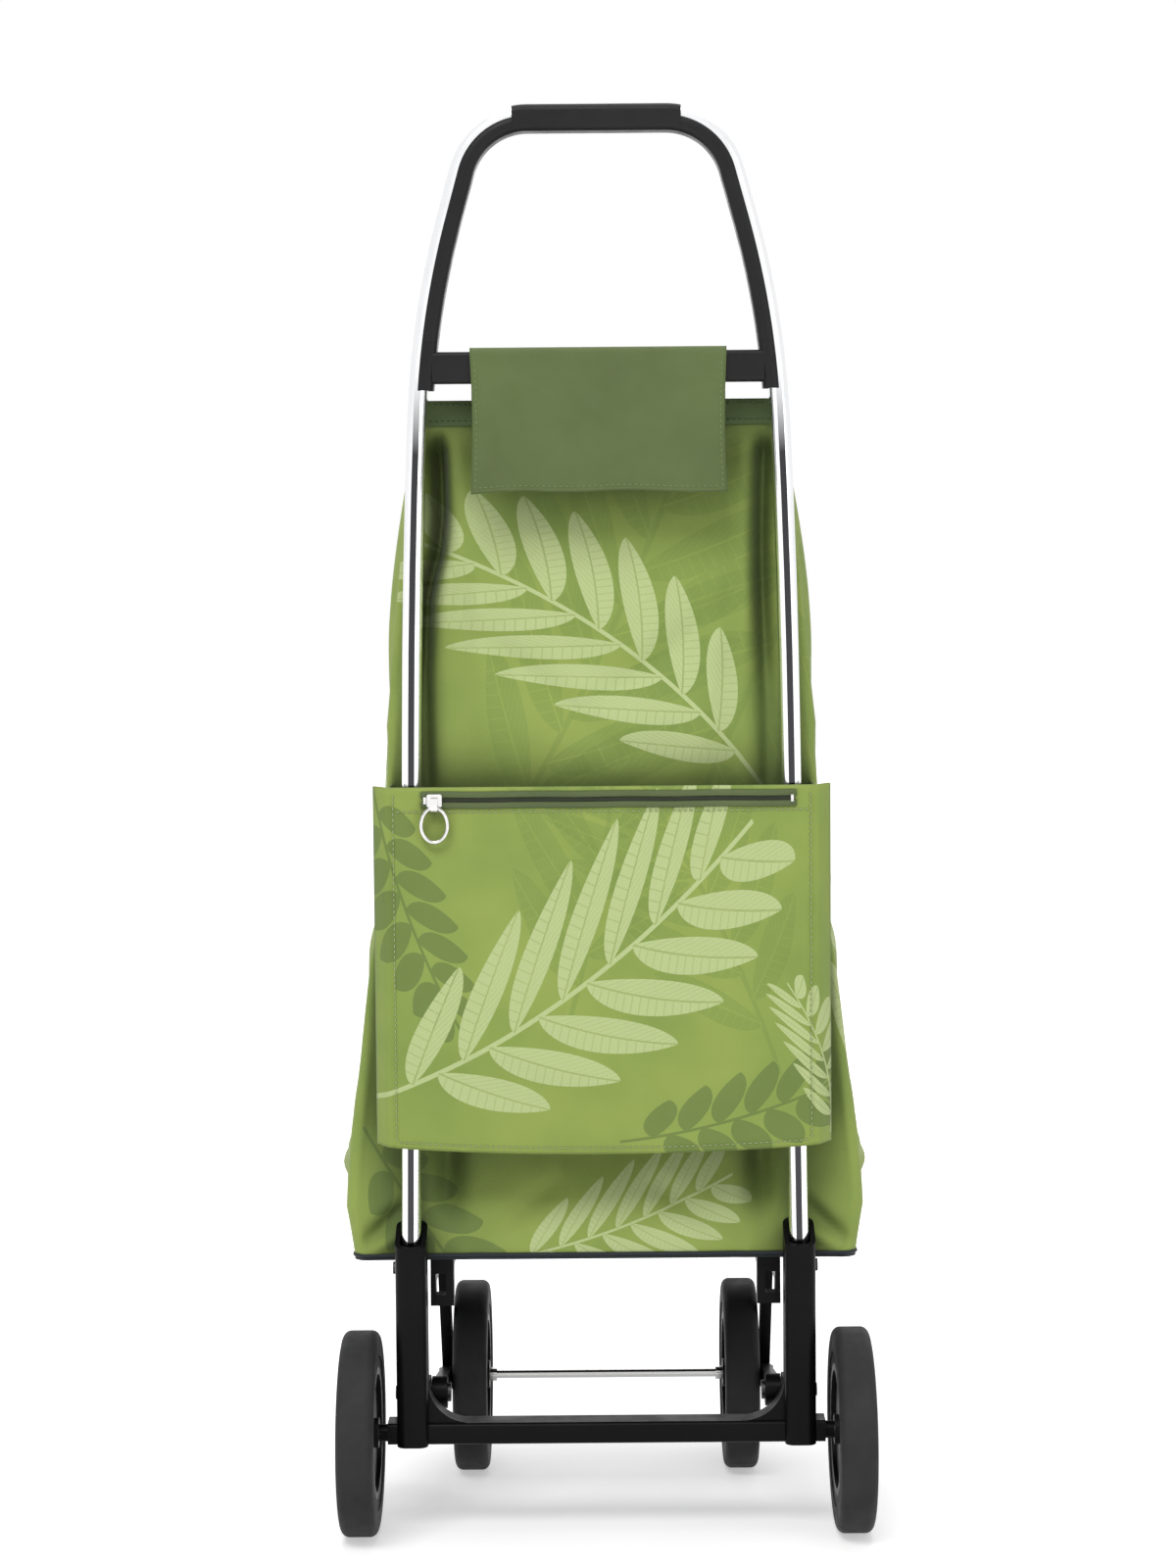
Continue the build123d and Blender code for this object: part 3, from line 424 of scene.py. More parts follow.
# ---------------------------------------------------------------- materials
GREEN = shade(0.335, 0.430, 0.093)
GREEN_DEEP = shade(0.190, 0.290, 0.060)
GREEN_LIGHT = shade(0.560, 0.660, 0.300)
GREEN_SHADOW = shade(0.110, 0.165, 0.045)
# the deep green of painted shade in the cloth's folds and hollows
GREEN_PAINTED_SHADE = shade(0.028, 0.045, 0.010)
OLIVE = shade(0.126, 0.172, 0.056)


THREAD = 0.00045
# how far the cloth's painted shade looks for nearby surfaces
PAINTED_SHADE_REACH = 0.075
PRINT_LAYERS = (  # layout, tone, strength and how far the veins let the ground through
    ("faint", GREEN_DEEP, 0.38, 1.0),
    ("dark", GREEN_SHADOW, 0.62, 0.0),
    ("light", GREEN_LIGHT, 1.0, 0.55),
)


def printed_cloth(name, **layouts):
    """Polyester with a generic sprig print in three tones over a softly mottled ground, with painted shade in
    folds and hollows.
    """
    n = Nodes(name)
    place, u, v = n.cloth_place()
    mottle = n.span(n.noise(place, 9.0, 3.0), 0.40, 0.66)
    colour = n.mix(n.math("MULTIPLY", mottle, 0.55), GREEN, GREEN_DEEP)
    for layer, tone, strength, veins in PRINT_LAYERS:
        for entry in layouts[layer]:
            blade, vein = sprig(n, u, v, **entry)
            patchy = n.math("MULTIPLY", blade, strength)
            if veins:
                patchy = n.math("MULTIPLY", patchy, n.math("SUBTRACT", 1.0, n.math("MULTIPLY", vein, veins)))
            colour = n.mix(patchy, colour, tone)
    grain = n.noise(place, 900.0, 2.0)
    colour = n.mix(n.span(grain, 0.35, 0.75, 0.0, 0.16), colour, GREEN_DEEP)
    # painted shade: the cloth's colour is darkened towards a deep green in folds, hollows, under the pocket and
    # beside the tubes, by how closely other surfaces surround it
    colour = n.mix(n.span(n.hollows(PAINTED_SHADE_REACH), 0.38, 0.93, 0.86, 0.0), colour, GREEN_PAINTED_SHADE)
    threads = n.bump(weave(n, u, v, THREAD), 0.25, 0.0002)
    crumple = n.bump(n.noise(place, 42.0, 4.0, 0.55), 0.10, 0.004, threads)
    rough = n.span(n.noise(place, 60.0, 2.0), 0.3, 0.7, 0.56, 0.68)
    return n.set(Base_Color=colour, Roughness=rough, Normal=crumple, Sheen_Weight=0.12,
                 Sheen_Roughness=0.4, Specular_IOR_Level=0.35)


def plain_cloth(name, first, second, thread=THREAD):
    """Unprinted polyester, tape or sewing thread, mottled between two shades."""
    n = Nodes(name)
    place, u, v = n.cloth_place()
    colour = n.mix(n.span(n.noise(place, 14.0, 4.0), 0.3, 0.7), first, second)
    colour = n.mix(n.span(n.noise(place, 1100.0, 1.0), 0.4, 0.7, 0.0, 0.25), colour, second)
    threads = n.bump(weave(n, u, v, thread), 0.35, 0.0003)
    crumple = n.bump(n.noise(place, 55.0, 4.0), 0.10, 0.003, threads)
    rough = n.span(n.noise(place, 70.0), 0.3, 0.7, 0.57, 0.68)
    return n.set(Base_Color=colour, Roughness=rough, Normal=crumple, Sheen_Weight=0.15,
                 Sheen_Roughness=0.4, Specular_IOR_Level=0.35)


GRAIN_SCALE, GRAIN_DEPTH = 2600.0, 0.00006


def moulded(name, first, second, rough, shine=0.3):
    """Moulded plastic with a fine spark-eroded grain and faint colour drift."""
    n = Nodes(name)
    place = n.place()
    colour = n.mix(n.span(n.noise(place, 22.0, 3.0), 0.35, 0.65), first, second)
    texture = n.bump(n.noise(place, GRAIN_SCALE, 1.0), 0.35, GRAIN_DEPTH)
    rubbed = n.span(n.noise(place, 75.0, 4.0), 0.35, 0.7, rough - 0.05, rough + 0.07)
    return n.set(Base_Color=colour, Roughness=rubbed, Normal=texture, Specular_IOR_Level=shine)


MARKS_ALONG_X, MARKS_ALONG_Z = (5.0, 900.0, 900.0), (900.0, 900.0, 5.0)
# the dark colour painted as shade and reflection on the tube's groove floor, and the heights over which it fades
# out
GROOVE_PAINTED_SHADE = shade(0.045, 0.045, 0.048)
GROOVE_FADE_FROM, GROOVE_FADE_TO = 0.80, 0.86


def polished(name, colour, worn, rough, marks_scale=MARKS_ALONG_Z, groove=False):
    """Metal with fine drawing marks; groove paints a dark line of shade and reflection onto the tube's flat
    groove floor on the user's side.
    """
    n = Nodes(name)
    place = n.place()
    stretch = n.add("ShaderNodeMapping")
    n.join(place, stretch.inputs["Vector"])
    stretch.inputs["Scale"].default_value = marks_scale
    marks = n.noise(stretch.outputs[0], 1.0, 3.0)
    tint = n.mix(n.span(marks, 0.35, 0.7, 0.0, 0.5), colour, worn)
    # painted shade and reflection: the flat groove floor that faces the user is coloured dark below 0.80 m,
    # fading out by 0.86 m
    if groove:
        facing = n.add("ShaderNodeVectorMath", operation="DOT_PRODUCT")
        n.join(n.add("ShaderNodeNewGeometry").outputs["True Normal"], facing.inputs[0])
        facing.inputs[1].default_value = (0.0, -cos(LEAN), -sin(LEAN))
        height = n.add("ShaderNodeSeparateXYZ")
        n.join(place, height.inputs[0])
        flat = n.span(facing.outputs["Value"], 0.975, 0.985)
        low = n.span(height.outputs[2], GROOVE_FADE_TO, GROOVE_FADE_FROM)
        tint = n.mix(n.math("MULTIPLY", flat, low), tint, GROOVE_PAINTED_SHADE)
    smooth = n.span(n.noise(place, 35.0, 3.0), 0.3, 0.7, rough, rough + 0.08)
    return n.set(Base_Color=tint, Metallic=1.0, Roughness=smooth, Normal=n.bump(marks, 0.06, 0.0001))


def foam(name):
    """Dull foam tyre with a fine cell skin."""
    n = Nodes(name)
    place = n.place()
    drift = n.span(n.noise(place, 30.0, 4.0), 0.3, 0.7)
    colour = n.mix(drift, shade(0.034, 0.034, 0.035), shade(0.046, 0.046, 0.047))
    cells = n.add("ShaderNodeTexVoronoi")
    n.join(place, cells.inputs["Vector"])
    cells.inputs["Scale"].default_value = 1300.0
    skin = n.bump(cells.outputs["Distance"], 0.30, 0.0002)
    rough = n.span(n.noise(place, 90.0, 3.0), 0.3, 0.7, 0.52, 0.68)
    return n.set(Base_Color=colour, Roughness=rough, Normal=skin, Specular_IOR_Level=0.10)


SMALL_LEAVES = dict(leaf=0.06, half_width=0.014, slant=0.5)
bag_print = printed_cloth(
    "bag_print",
    light=(dict(x=0.105, y=0.575, turn=radians(128), scale=0.95, bend=1.1),
           dict(x=0.205, y=0.330, turn=radians(72), scale=1.1, bend=0.5),
           dict(x=0.430, y=0.660, turn=radians(-112), scale=1.0, bend=0.7),
           dict(x=-0.245, y=0.600, turn=radians(-108), scale=1.05, bend=-0.5),
           dict(x=-0.520, y=0.330, turn=radians(64), scale=1.1, bend=0.8),
           dict(x=0.300, y=0.590, turn=radians(74), scale=0.72, bend=0.8),
           dict(x=-0.335, y=0.800, turn=radians(-102), scale=0.68, bend=0.7),
           dict(x=0.520, y=0.620, turn=radians(98), scale=0.66, bend=-0.8),
           dict(x=-0.060, y=0.205, turn=radians(12), scale=0.55, bend=0.5)),
    dark=(dict(x=-0.170, y=0.285, turn=radians(-60), scale=0.7, bend=0.4, **SMALL_LEAVES),
          dict(x=0.330, y=0.720, turn=radians(-80), scale=0.8, bend=0.6, **SMALL_LEAVES),
          dict(x=-0.380, y=0.420, turn=radians(100), scale=0.9, bend=0.6, **SMALL_LEAVES)),
    faint=(dict(x=-0.060, y=0.540, turn=radians(60), scale=1.3, bend=0.4),
           dict(x=0.180, y=0.760, turn=radians(-120), scale=1.6, bend=0.4),
           dict(x=0.520, y=0.300, turn=radians(100), scale=1.6, bend=-0.4)))
pocket_print = printed_cloth(
    "pocket_print",
    light=(dict(x=-0.150, y=0.262, turn=radians(22), scale=1.05, bend=0.9),
           dict(x=0.168, y=0.236, turn=radians(88), scale=0.34, bend=1.2)),
    dark=(dict(x=0.030, y=0.225, turn=radians(8), scale=0.62, bend=0.6, **SMALL_LEAVES),
          dict(x=-0.165, y=0.470, turn=radians(-78), scale=0.60, bend=0.5, **SMALL_LEAVES)),
    faint=(dict(x=-0.020, y=0.330, turn=radians(75), scale=1.1, bend=0.6),
           dict(x=0.120, y=0.300, turn=radians(110), scale=1.0, bend=0.5)))
flap_cloth = plain_cloth("flap_cloth", OLIVE, shade(0.100, 0.138, 0.044))
hem_cloth = plain_cloth("hem_cloth", shade(0.105, 0.150, 0.050), shade(0.080, 0.120, 0.040))
zip_band_cloth = plain_cloth("zip_band_cloth", shade(0.125, 0.165, 0.062), shade(0.095, 0.130, 0.048))
zip_coil_plastic = moulded("zip_coil_plastic", shade(0.020, 0.026, 0.014), shade(0.030, 0.036, 0.020), 0.5)
lining_cloth = plain_cloth("lining_cloth", shade(0.250, 0.330, 0.110), shade(0.215, 0.290, 0.095))
base_cloth = plain_cloth("base_cloth", shade(0.022, 0.028, 0.030), shade(0.015, 0.019, 0.022), thread=0.0008)
piping_cloth = plain_cloth("piping_cloth", shade(0.014, 0.020, 0.026), shade(0.010, 0.014, 0.018))
thread_light = plain_cloth("thread_light", shade(0.48, 0.55, 0.28), shade(0.40, 0.46, 0.22))
thread_flap = plain_cloth("thread_flap", shade(0.22, 0.30, 0.11), shade(0.17, 0.24, 0.09))
thread_dark = plain_cloth("thread_dark", shade(0.060, 0.085, 0.030), shade(0.045, 0.065, 0.025))
grip_plastic = moulded("grip_plastic", shade(0.018, 0.018, 0.019), shade(0.014, 0.014, 0.015), 0.40, 0.15)
chassis_plastic = moulded("chassis_plastic", shade(0.0060, 0.0060, 0.0065), shade(0.0045, 0.0045, 0.0050),
                          0.34, 0.08)
rim_plastic = moulded("rim_plastic", shade(0.014, 0.014, 0.015), shade(0.011, 0.011, 0.012), 0.36, 0.10)
tyre_foam = foam("tyre_foam")
tube_metal = polished("tube_metal", shade(0.90, 0.905, 0.915), shade(0.80, 0.81, 0.825), 0.16, groove=True)
axle_steel = polished("axle_steel", shade(0.36, 0.36, 0.375), shade(0.27, 0.27, 0.28), 0.28, MARKS_ALONG_X)
black_steel = polished("black_steel", shade(0.060, 0.060, 0.062), shade(0.045, 0.045, 0.047), 0.38)
chrome_metal = polished("chrome_metal", shade(0.62, 0.61, 0.60), shade(0.44, 0.44, 0.44), 0.10,
                        (5.0, 700.0, 700.0))

SLOT_MATERIALS = {
    "aluminium": tube_metal, "grip_plastic": grip_plastic, "chassis_plastic": chassis_plastic,
    "rim_plastic": rim_plastic, "tyre_foam": tyre_foam, "steel": axle_steel, "black_steel": black_steel,
    "chrome": chrome_metal, "bag_cloth": bag_print, "hem_cloth": hem_cloth, "zip_cloth": zip_band_cloth,
    "base_cloth": base_cloth,
}
slot_of = {entry["node"]: entry["material_slot"] for entry in frame["record"]["subparts"]}
for node, thing in frame["nodes"].items():
    thing.data.materials.clear()
    thing.data.materials.append(SLOT_MATERIALS[slot_of[node]])


# ---------------------------------------------------------------- the bag
BACK_COLUMNS, REAR_CORNER_COLUMNS, SIDE_COLUMNS, FRONT_CORNER_COLUMNS, FRONT_COLUMNS = 92, 7, 56, 11, 41
BAG_ROWS, HEM_ROWS = 168, 10
PIPING_RADIUS, PIPING_LIFT = 0.0015, 0.0008


def bag_width(z):
    """The bag's width at a level."""
    heights, widths = zip(*BAG_WIDTH)
    return np.interp(z, heights, widths)


def bag_ring(z):
    """One level section, from the middle of the back round by +X: its points, outward normals and the distance
    travelled from the middle of the back."""
    half = bag_width(z) / 2
    s = (z - ORIGIN_Z - BAG_BACK * sin(LEAN)) / cos(LEAN)
    back = AXLE_Y + BAG_BACK * cos(LEAN) - s * sin(LEAN)
    front = AXLE_Y + FRONT_LOW + (FRONT_HIGH - FRONT_LOW) * (z - BAG_LOW) / (BAG_TOP - BAG_LOW)
    points, normals = [], []
    for t in np.linspace(0, 1, BACK_COLUMNS, endpoint=False):
        points.append((t * (half - REAR_CORNER), back))
        normals.append((0.0, -1.0))
    for t in np.linspace(0, 1, REAR_CORNER_COLUMNS, endpoint=False):
        a = -pi / 2 + t * pi / 2
        points.append((half - REAR_CORNER + REAR_CORNER * cos(a), back + REAR_CORNER + REAR_CORNER * sin(a)))
        normals.append((cos(a), sin(a)))
    for t in np.linspace(0, 1, SIDE_COLUMNS, endpoint=False):
        points.append((half, back + REAR_CORNER + t * (front - back - REAR_CORNER - FRONT_CORNER)))
        normals.append((1.0, 0.0))
    for t in np.linspace(0, 1, FRONT_CORNER_COLUMNS, endpoint=False):
        a = t * pi / 2
        points.append((half - FRONT_CORNER + FRONT_CORNER * cos(a), front - FRONT_CORNER + FRONT_CORNER * sin(a)))
        normals.append((cos(a), sin(a)))
    for t in np.linspace(0, 1, FRONT_COLUMNS):
        points.append(((1 - t) * (half - FRONT_CORNER), front))
        normals.append((0.0, 1.0))
    points, normals = np.array(points), np.array(normals)
    # the other half is its mirror image, without the two columns on the middle plane
    flip = np.array([-1.0, 1.0])
    points = np.concatenate([points, points[-2:0:-1] * flip])
    normals = np.concatenate([normals, normals[-2:0:-1] * flip])
    travelled = np.concatenate([[0], np.cumsum(np.linalg.norm(np.diff(points, axis=0), axis=1))])
    return points, normals, travelled


def bag_swell(x, y, z, normal_x, normal_y):
    """How far the cloth stands out from its flat panel, in metres: slack, folds and puckers."""
    y = y - AXLE_Y
    back = np.clip(-normal_y, 0, 1)
    side = np.abs(normal_x)
    front = np.clip(normal_y, 0, 1)
    below_hem = 1 - ramp(z, 0.803, 0.822)
    # slack between the pocket and the hanging upper back
    free = ramp(z, 0.29, 0.40) * (1 - ramp(z, 0.55, 0.66))
    swell = back * free * 0.0045 * np.clip(np.cos(pi * x / 0.262), 0, 1) ** 0.8 * (np.abs(x) < 0.131)
    # the upper back hangs in from the hem, clear of the crossbar when the bag rises
    swell += back * -0.0065 * ramp(z, 0.585, 0.655) * below_hem
    # deep folds beside the uprights, where the cloth hangs back from the hem
    left = np.interp(z, FOLD_Z, LEFT_FOLD)
    right = RIGHT_FOLD
    fold = (0.35 + 0.65 * ramp(z, 0.60, 0.70)) * ramp(z, 0.50, 0.60) * below_hem
    swell += back * fold * -0.021 * gully(left - x, 0.0045, 0.0072)
    swell += back * fold * -0.012 * gully(x - right - 0.0016 * np.sin(24 * (z - 0.80)), 0.0060, 0.0060)
    swell += back * fold * 0.0040 * np.exp(-((x - left - 0.0135) / 0.0085) ** 2)
    swell += back * fold * 0.0038 * np.exp(-((x - 0.1070) / 0.0080) ** 2)
    loose = back * (1 - ramp(np.abs(x), 0.118, 0.130))
    high = 1 - ramp(z, 0.775, 0.80)
    for entry in BACK_CREASES:
        swell += loose * high * crease(x, z, *entry)
    # the panel below the pocket falls back in and is drawn to its lower corners
    swell += back * -0.0240 * bump(z, 0.207, 0.38) * np.clip(np.cos(pi * x / 0.38), 0, 1)
    for sign in (-1, 1):
        swell += back * -0.0130 * gully(0.118 - sign * x, 0.009, 0.013) * bump(z, 0.212, 0.34)
        for x0, z0, x1, z1, width, depth in LOWER_CREASES:
            swell += back * crease(x, z, sign * x0, z0, sign * x1, z1, width, depth)
    swell += side * (-0.0065 * bump(z, 0.30, 0.80) * bump(y, -0.05, 0.20) + 0.0020 * bump(z, 0.205, 0.36))
    for entry in SIDE_CREASES:
        swell += side * SIDE_GAIN * crease(y, z, *entry)
    swell += front * 0.0070 * bump(z, 0.19, 0.72) * np.clip(np.cos(pi * x / 0.42), 0, 1)
    for entry in FRONT_CREASES:
        swell += front * FRONT_GAIN * crease(x, z, *entry)
    outer = np.clip(side + front, 0, 1)
    swell += outer * 0.0010 * np.sin(23 * z + 31 * y + 17 * x) * bump(z, 0.22, 0.84)
    return swell


def bag_surface(z_low, z_high, rows, grow=0.0):
    """Grids of points and cloth coordinates between two levels; the join lies at the middle of the front."""
    grid, uv = [], []
    for z in np.linspace(z_low, z_high, rows):
        points, normals, travelled = bag_ring(z)
        level = np.full(len(points), z)
        swell = bag_swell(points[:, 0], points[:, 1], level, normals[:, 0], normals[:, 1]) + grow
        moved = points + normals * swell[:, None]
        grid.append(np.column_stack([moved, level]))
        whole = travelled[-1] + np.linalg.norm(points[0] - points[-1])
        travelled = np.where(travelled > whole / 2, travelled - whole, travelled)
        uv.append(np.column_stack([travelled, level]))
    join = len(travelled) - int(np.argmax(travelled[:-1] - travelled[1:])) - 1
    return np.roll(np.array(grid), join, 1), np.roll(np.array(uv), join, 1)


bag_grid, bag_uv = bag_surface(BAG_LOW + 0.001, BAG_HEM + 0.002, BAG_ROWS)
bag = thicken(sheet_piece("bag_cloth_skin", bag_grid, bag_uv, bag_print, "bag", closed=True), BAG_CLOTH)
# the lining shows inside the mouth
bag.data.materials.append(lining_cloth)
bag.modifiers["thickness"].material_offset = 1
bag.modifiers["thickness"].material_offset_rim = 1
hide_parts("bag_shell")

hem_grid, hem_uv = bag_surface(BAG_HEM - 0.001, BAG_TOP, HEM_ROWS, grow=0.0006)
hem = thicken(sheet_piece("bag_hem_band", hem_grid, hem_uv, hem_cloth, "bag", closed=True), HEM_CLOTH)
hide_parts("bag_hem")
hem_line = [bag_surface(z, z + 0.001, 2, grow=0.0008)[0][0] for z in (BAG_HEM + 0.003, BAG_TOP - 0.003)]
hem_stitches = stitch_piece("bag_hem_stitches", hem_line, thread_dark, "bag")

# the floor, in rings that shrink towards its middle
ring = bag_surface(BAG_LOW + 0.001, BAG_LOW + 0.002, 2)[0][0]
middle = np.array([0.0, AXLE_Y + 0.11, BAG_LOW + 0.0022])
layers = []
for share in (1.0, 0.985, 0.95, 0.86, 0.7, 0.5, 0.3, 0.12):
    level = ring * share + middle * (1 - share)
    level[:, 2] = BAG_LOW + 0.0006 + 0.0008 * np.sin(40 * level[:, 0]) * np.cos(37 * level[:, 1]) * (1 - share)
    layers.append(level)
layers = np.array(layers)
base = thicken(sheet_piece("bag_base_panel", layers, layers[:, :, :2], base_cloth, "bag", closed=True), BAG_CLOTH)
base_centre = new_piece("bag_base_centre", layers[-1], [tuple(range(len(ring)))], base_cloth, "bag",
                        layers[-1][:, :2])
thicken(base_centre, BAG_CLOTH)
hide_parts("bag_bottom")
piping = piping_piece("bag_piping", ring + np.array([0, 0, PIPING_LIFT]), PIPING_RADIUS, piping_cloth, "bag")

# ---------------------------------------------------------------- the pocket
def pocket_point(a, b):
    """Places x, s, n on the pocket's face: a across from -1 to 1, b up from 0 to 1."""
    x = a * POCKET_HALF
    low = POCKET_LOW - 0.006 * (1 - a * a)
    s = low + (POCKET_HIGH - low) * b
    depth = POCKET_DEPTH + 0.0045 * bump(b, -0.35, 0.9) * (1 - np.abs(a) ** 3)
    depth = depth - 0.0135 * ramp(np.abs(x), SEAM_X - 0.002, POCKET_HALF + 0.003) ** 1.3
    depth = depth - 0.0012 * np.exp(-((np.abs(x) - SEAM_X) / 0.0016) ** 2)
    for entry in POCKET_CREASES:
        depth = depth + crease(x, s, *entry)
    return x, s, depth


across, rise = np.meshgrid(np.linspace(-1, 1, 150), np.linspace(0, 1, 96))
px, ps, pn = pocket_point(across, rise)
pocket = thicken(sheet_piece("pocket_panel", leaning(px, ps, pn), np.stack([px, ps], -1), pocket_print, "bag"),
                 BAG_CLOTH)
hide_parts("rear_pocket")


def pocket_path(a_values, b_values):
    """A line for stitches, just outside the pocket's face."""
    x, s, n = pocket_point(a_values, b_values)
    return leaning(x, s, n + 0.0004)


seam_share = (SEAM_X - 0.0025) / POCKET_HALF
b_line = np.linspace(0.015, 0.985, 120)
a_line = np.linspace(-seam_share, seam_share, 200)
seam_paths = [pocket_path(np.full_like(b_line, sign * seam_share), b_line) for sign in (-1, 1)]
below_zip = (ZIP_S - 0.0085 - POCKET_LOW) / (POCKET_HIGH - POCKET_LOW)
for level in (below_zip, 0.018):
    seam_paths.append(pocket_path(a_line, np.full_like(a_line, level)))
pocket_stitches = stitch_piece("pocket_stitches", seam_paths, thread_light, "bag")

# side gussets that carry the pocket back to the bag, just outside the tubes
for label, sign in (("left", -1), ("right", 1)):
    reach, rise = np.meshgrid(np.linspace(0, 1, 14), np.linspace(0, 1, 60))
    s = POCKET_LOW + 0.001 + (POCKET_HIGH - POCKET_LOW - 0.002) * rise
    x = sign * (SEAM_X + 0.0015 * np.sin(pi * reach) + 0.0004 * np.sin(60 * s))
    n = (POCKET_DEPTH - 0.002) + (-BAG_BACK - 0.001 - POCKET_DEPTH + 0.002) * reach
    gusset = sheet_piece("pocket_gusset_" + label, leaning(x, s, n), np.stack([n, s], -1), pocket_print, "bag")
    thicken(gusset, GUSSET_CLOTH, offset=0.0)

# ---------------------------------------------------------------- the zip
for label, sign in (("upper", 1), ("lower", -1)):
    along, turn = np.meshgrid(np.linspace(0, 1, 140), np.linspace(0, 2 * pi, 17)[:-1])
    x = ZIP_FROM + (ZIP_TO - ZIP_FROM) * along
    centre = ZIP_S + sign * ZIP_BAND_OFF
    s = centre + ZIP_BAND_HALF * np.sign(np.cos(turn)) * np.abs(np.cos(turn)) ** 0.6 + 0.0002 * np.sin(90 * x)
    n = ZIP_BAND_N + 0.0008 * np.sin(turn)
    band = leaning(x, s, n).transpose(1, 0, 2)
    flat = np.stack([x, s], -1).transpose(1, 0, 2)
    piece = sheet_piece("zip_band_" + label, band, flat, zip_band_cloth, "bag", closed=True)
    if label == "upper":
        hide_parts("zip_tape")

# each tooth is a small block with this section, one row reaching up and one down
TOOTH_SECTION = ((0.0, 0.0002), (0.0, 0.0011), (0.0016, 0.0009), (0.0016, 0.0002))
coil_verts = []
coil_faces = []
for x in np.arange(ZIP_FROM + COIL_END, ZIP_TO - COIL_END, COIL_PITCH):
    for sign in (-1, 1):
        first = len(coil_verts)
        for dx in (-0.0005, 0.0005):
            for ds, dn in TOOTH_SECTION:
                coil_verts.append(leaning(x + dx + sign * 0.00036, ZIP_S + sign * (ds - 0.0002), COIL_N + dn))
        for k in range(4):
            m = (k + 1) % 4
            coil_faces.append((first + k, first + m, first + 4 + m, first + 4 + k))
        coil_faces.append((first + 3, first + 2, first + 1, first))
        coil_faces.append((first + 4, first + 5, first + 6, first + 7))
coil = new_piece("zip_coil", coil_verts, coil_faces, zip_coil_plastic, "bag")
coil.data.polygons.foreach_set("use_smooth", [False] * len(coil.data.polygons))
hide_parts("zip_chain")

# ---------------------------------------------------------------- the flap over the crossbar
def flap_profile(t):
    """Heights s and depths n of the flap's middle line, up behind the crossbar, over it and down in front, and
    the length at which it starts to hang; t is the length along it."""
    top = FLAP_TURN_S + FLAP_CLEAR
    back_run = top - FLAP_TUCK - FLAP_BEND
    over_run = 2 * FLAP_DEPTH - 2 * FLAP_BEND
    turn_run = FLAP_BEND * pi / 2
    stops = np.cumsum([back_run, turn_run, over_run, turn_run])
    runs = [t < stops[0], (t >= stops[0]) & (t < stops[1]), (t >= stops[1]) & (t < stops[2]),
            (t >= stops[2]) & (t < stops[3]), t >= stops[3]]
    s = np.piecewise(t, runs, [lambda t: FLAP_TUCK + t,
                               lambda t: top - FLAP_BEND + FLAP_BEND * np.sin((t - stops[0]) / FLAP_BEND),
                               lambda t: top,
                               lambda t: top - FLAP_BEND + FLAP_BEND * np.cos((t - stops[2]) / FLAP_BEND),
                               lambda t: top - FLAP_BEND - (t - stops[3])])
    n = np.piecewise(t, runs, [lambda t: -FLAP_DEPTH,
                               lambda t: -FLAP_DEPTH + FLAP_BEND - FLAP_BEND * np.cos((t - stops[0]) / FLAP_BEND),
                               lambda t: -FLAP_DEPTH + FLAP_BEND + (t - stops[1]),
                               lambda t: FLAP_DEPTH - FLAP_BEND + FLAP_BEND * np.sin((t - stops[2]) / FLAP_BEND),
                               lambda t: FLAP_DEPTH])
    return s, n, stops[3]


flap_front = flap_profile(np.array([0.0]))[2]
flap_length = flap_front + FLAP_TURN_S + FLAP_CLEAR - FLAP_BEND - FLAP_LOW


def flap_point(a, t):
    """Places x, s, n on the flap: a across from -1 to 1, t along its length."""
    x = a * FLAP_HALF
    s, n, _ = flap_profile(t)
    hang = np.clip((t - flap_front) / (flap_length - flap_front), 0, 1)
    n = n + 0.0032 * hang * (0.5 + 0.5 * np.cos(2.2 * pi * (a + 0.15))) + 0.0012 * hang ** 2
    n = n + crease(x, t, -0.05, flap_front, -0.03, flap_length, 0.014, 0.0012)
    n = n + crease(x, t, 0.06, flap_front + 0.01, 0.02, flap_length, 0.016, -0.0008)
    s = s - 0.0014 * hang * np.abs(a) ** 3 + 0.0006 * hang * np.sin(7 * a)
    x = x - 0.0016 * np.sin(pi * hang) * a
    return x, s, n


across, down = np.meshgrid(np.linspace(-1, 1, 74), np.linspace(0, flap_length, 110))
fx, fs, fn = flap_point(across, down)
flap = sheet_piece("flap_sheet", leaning(fx, fs, fn), np.stack([fx, down], -1), flap_cloth, None)
thicken(flap, FLAP_CLOTH, offset=0.0)
bpy.context.view_layer.objects.active = flap
bpy.ops.object.modifier_apply(modifier="thickness")
bend_start = leaning(0, FLAP_TURN_S, FLAP_DEPTH - 0.0065)
bend_end = leaning(0, FLAP_TURN_S, FLAP_DEPTH - 0.0012)
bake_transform(flap)
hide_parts("flap_strap", "hanging_flap")


def flap_path(a_values, t_values):
    """A line for stitches, just outside the flap's face."""
    x, s, n = flap_point(a_values, t_values)
    return leaning(x, s, n + 0.0010)


side_share = 1 - 0.0030 / FLAP_HALF
t_line = np.linspace(flap_front + 0.004, flap_length - 0.003, 80)
a_line = np.linspace(-side_share, side_share, 90)
flap_seams = [flap_path(np.full_like(t_line, sign * side_share), t_line) for sign in (-1, 1)]
flap_seams.append(flap_path(a_line, np.full_like(a_line, flap_length - 0.004)))
flap_stitches = stitch_piece("flap_stitches", flap_seams, thread_flap, "flap", radius=0.00040)

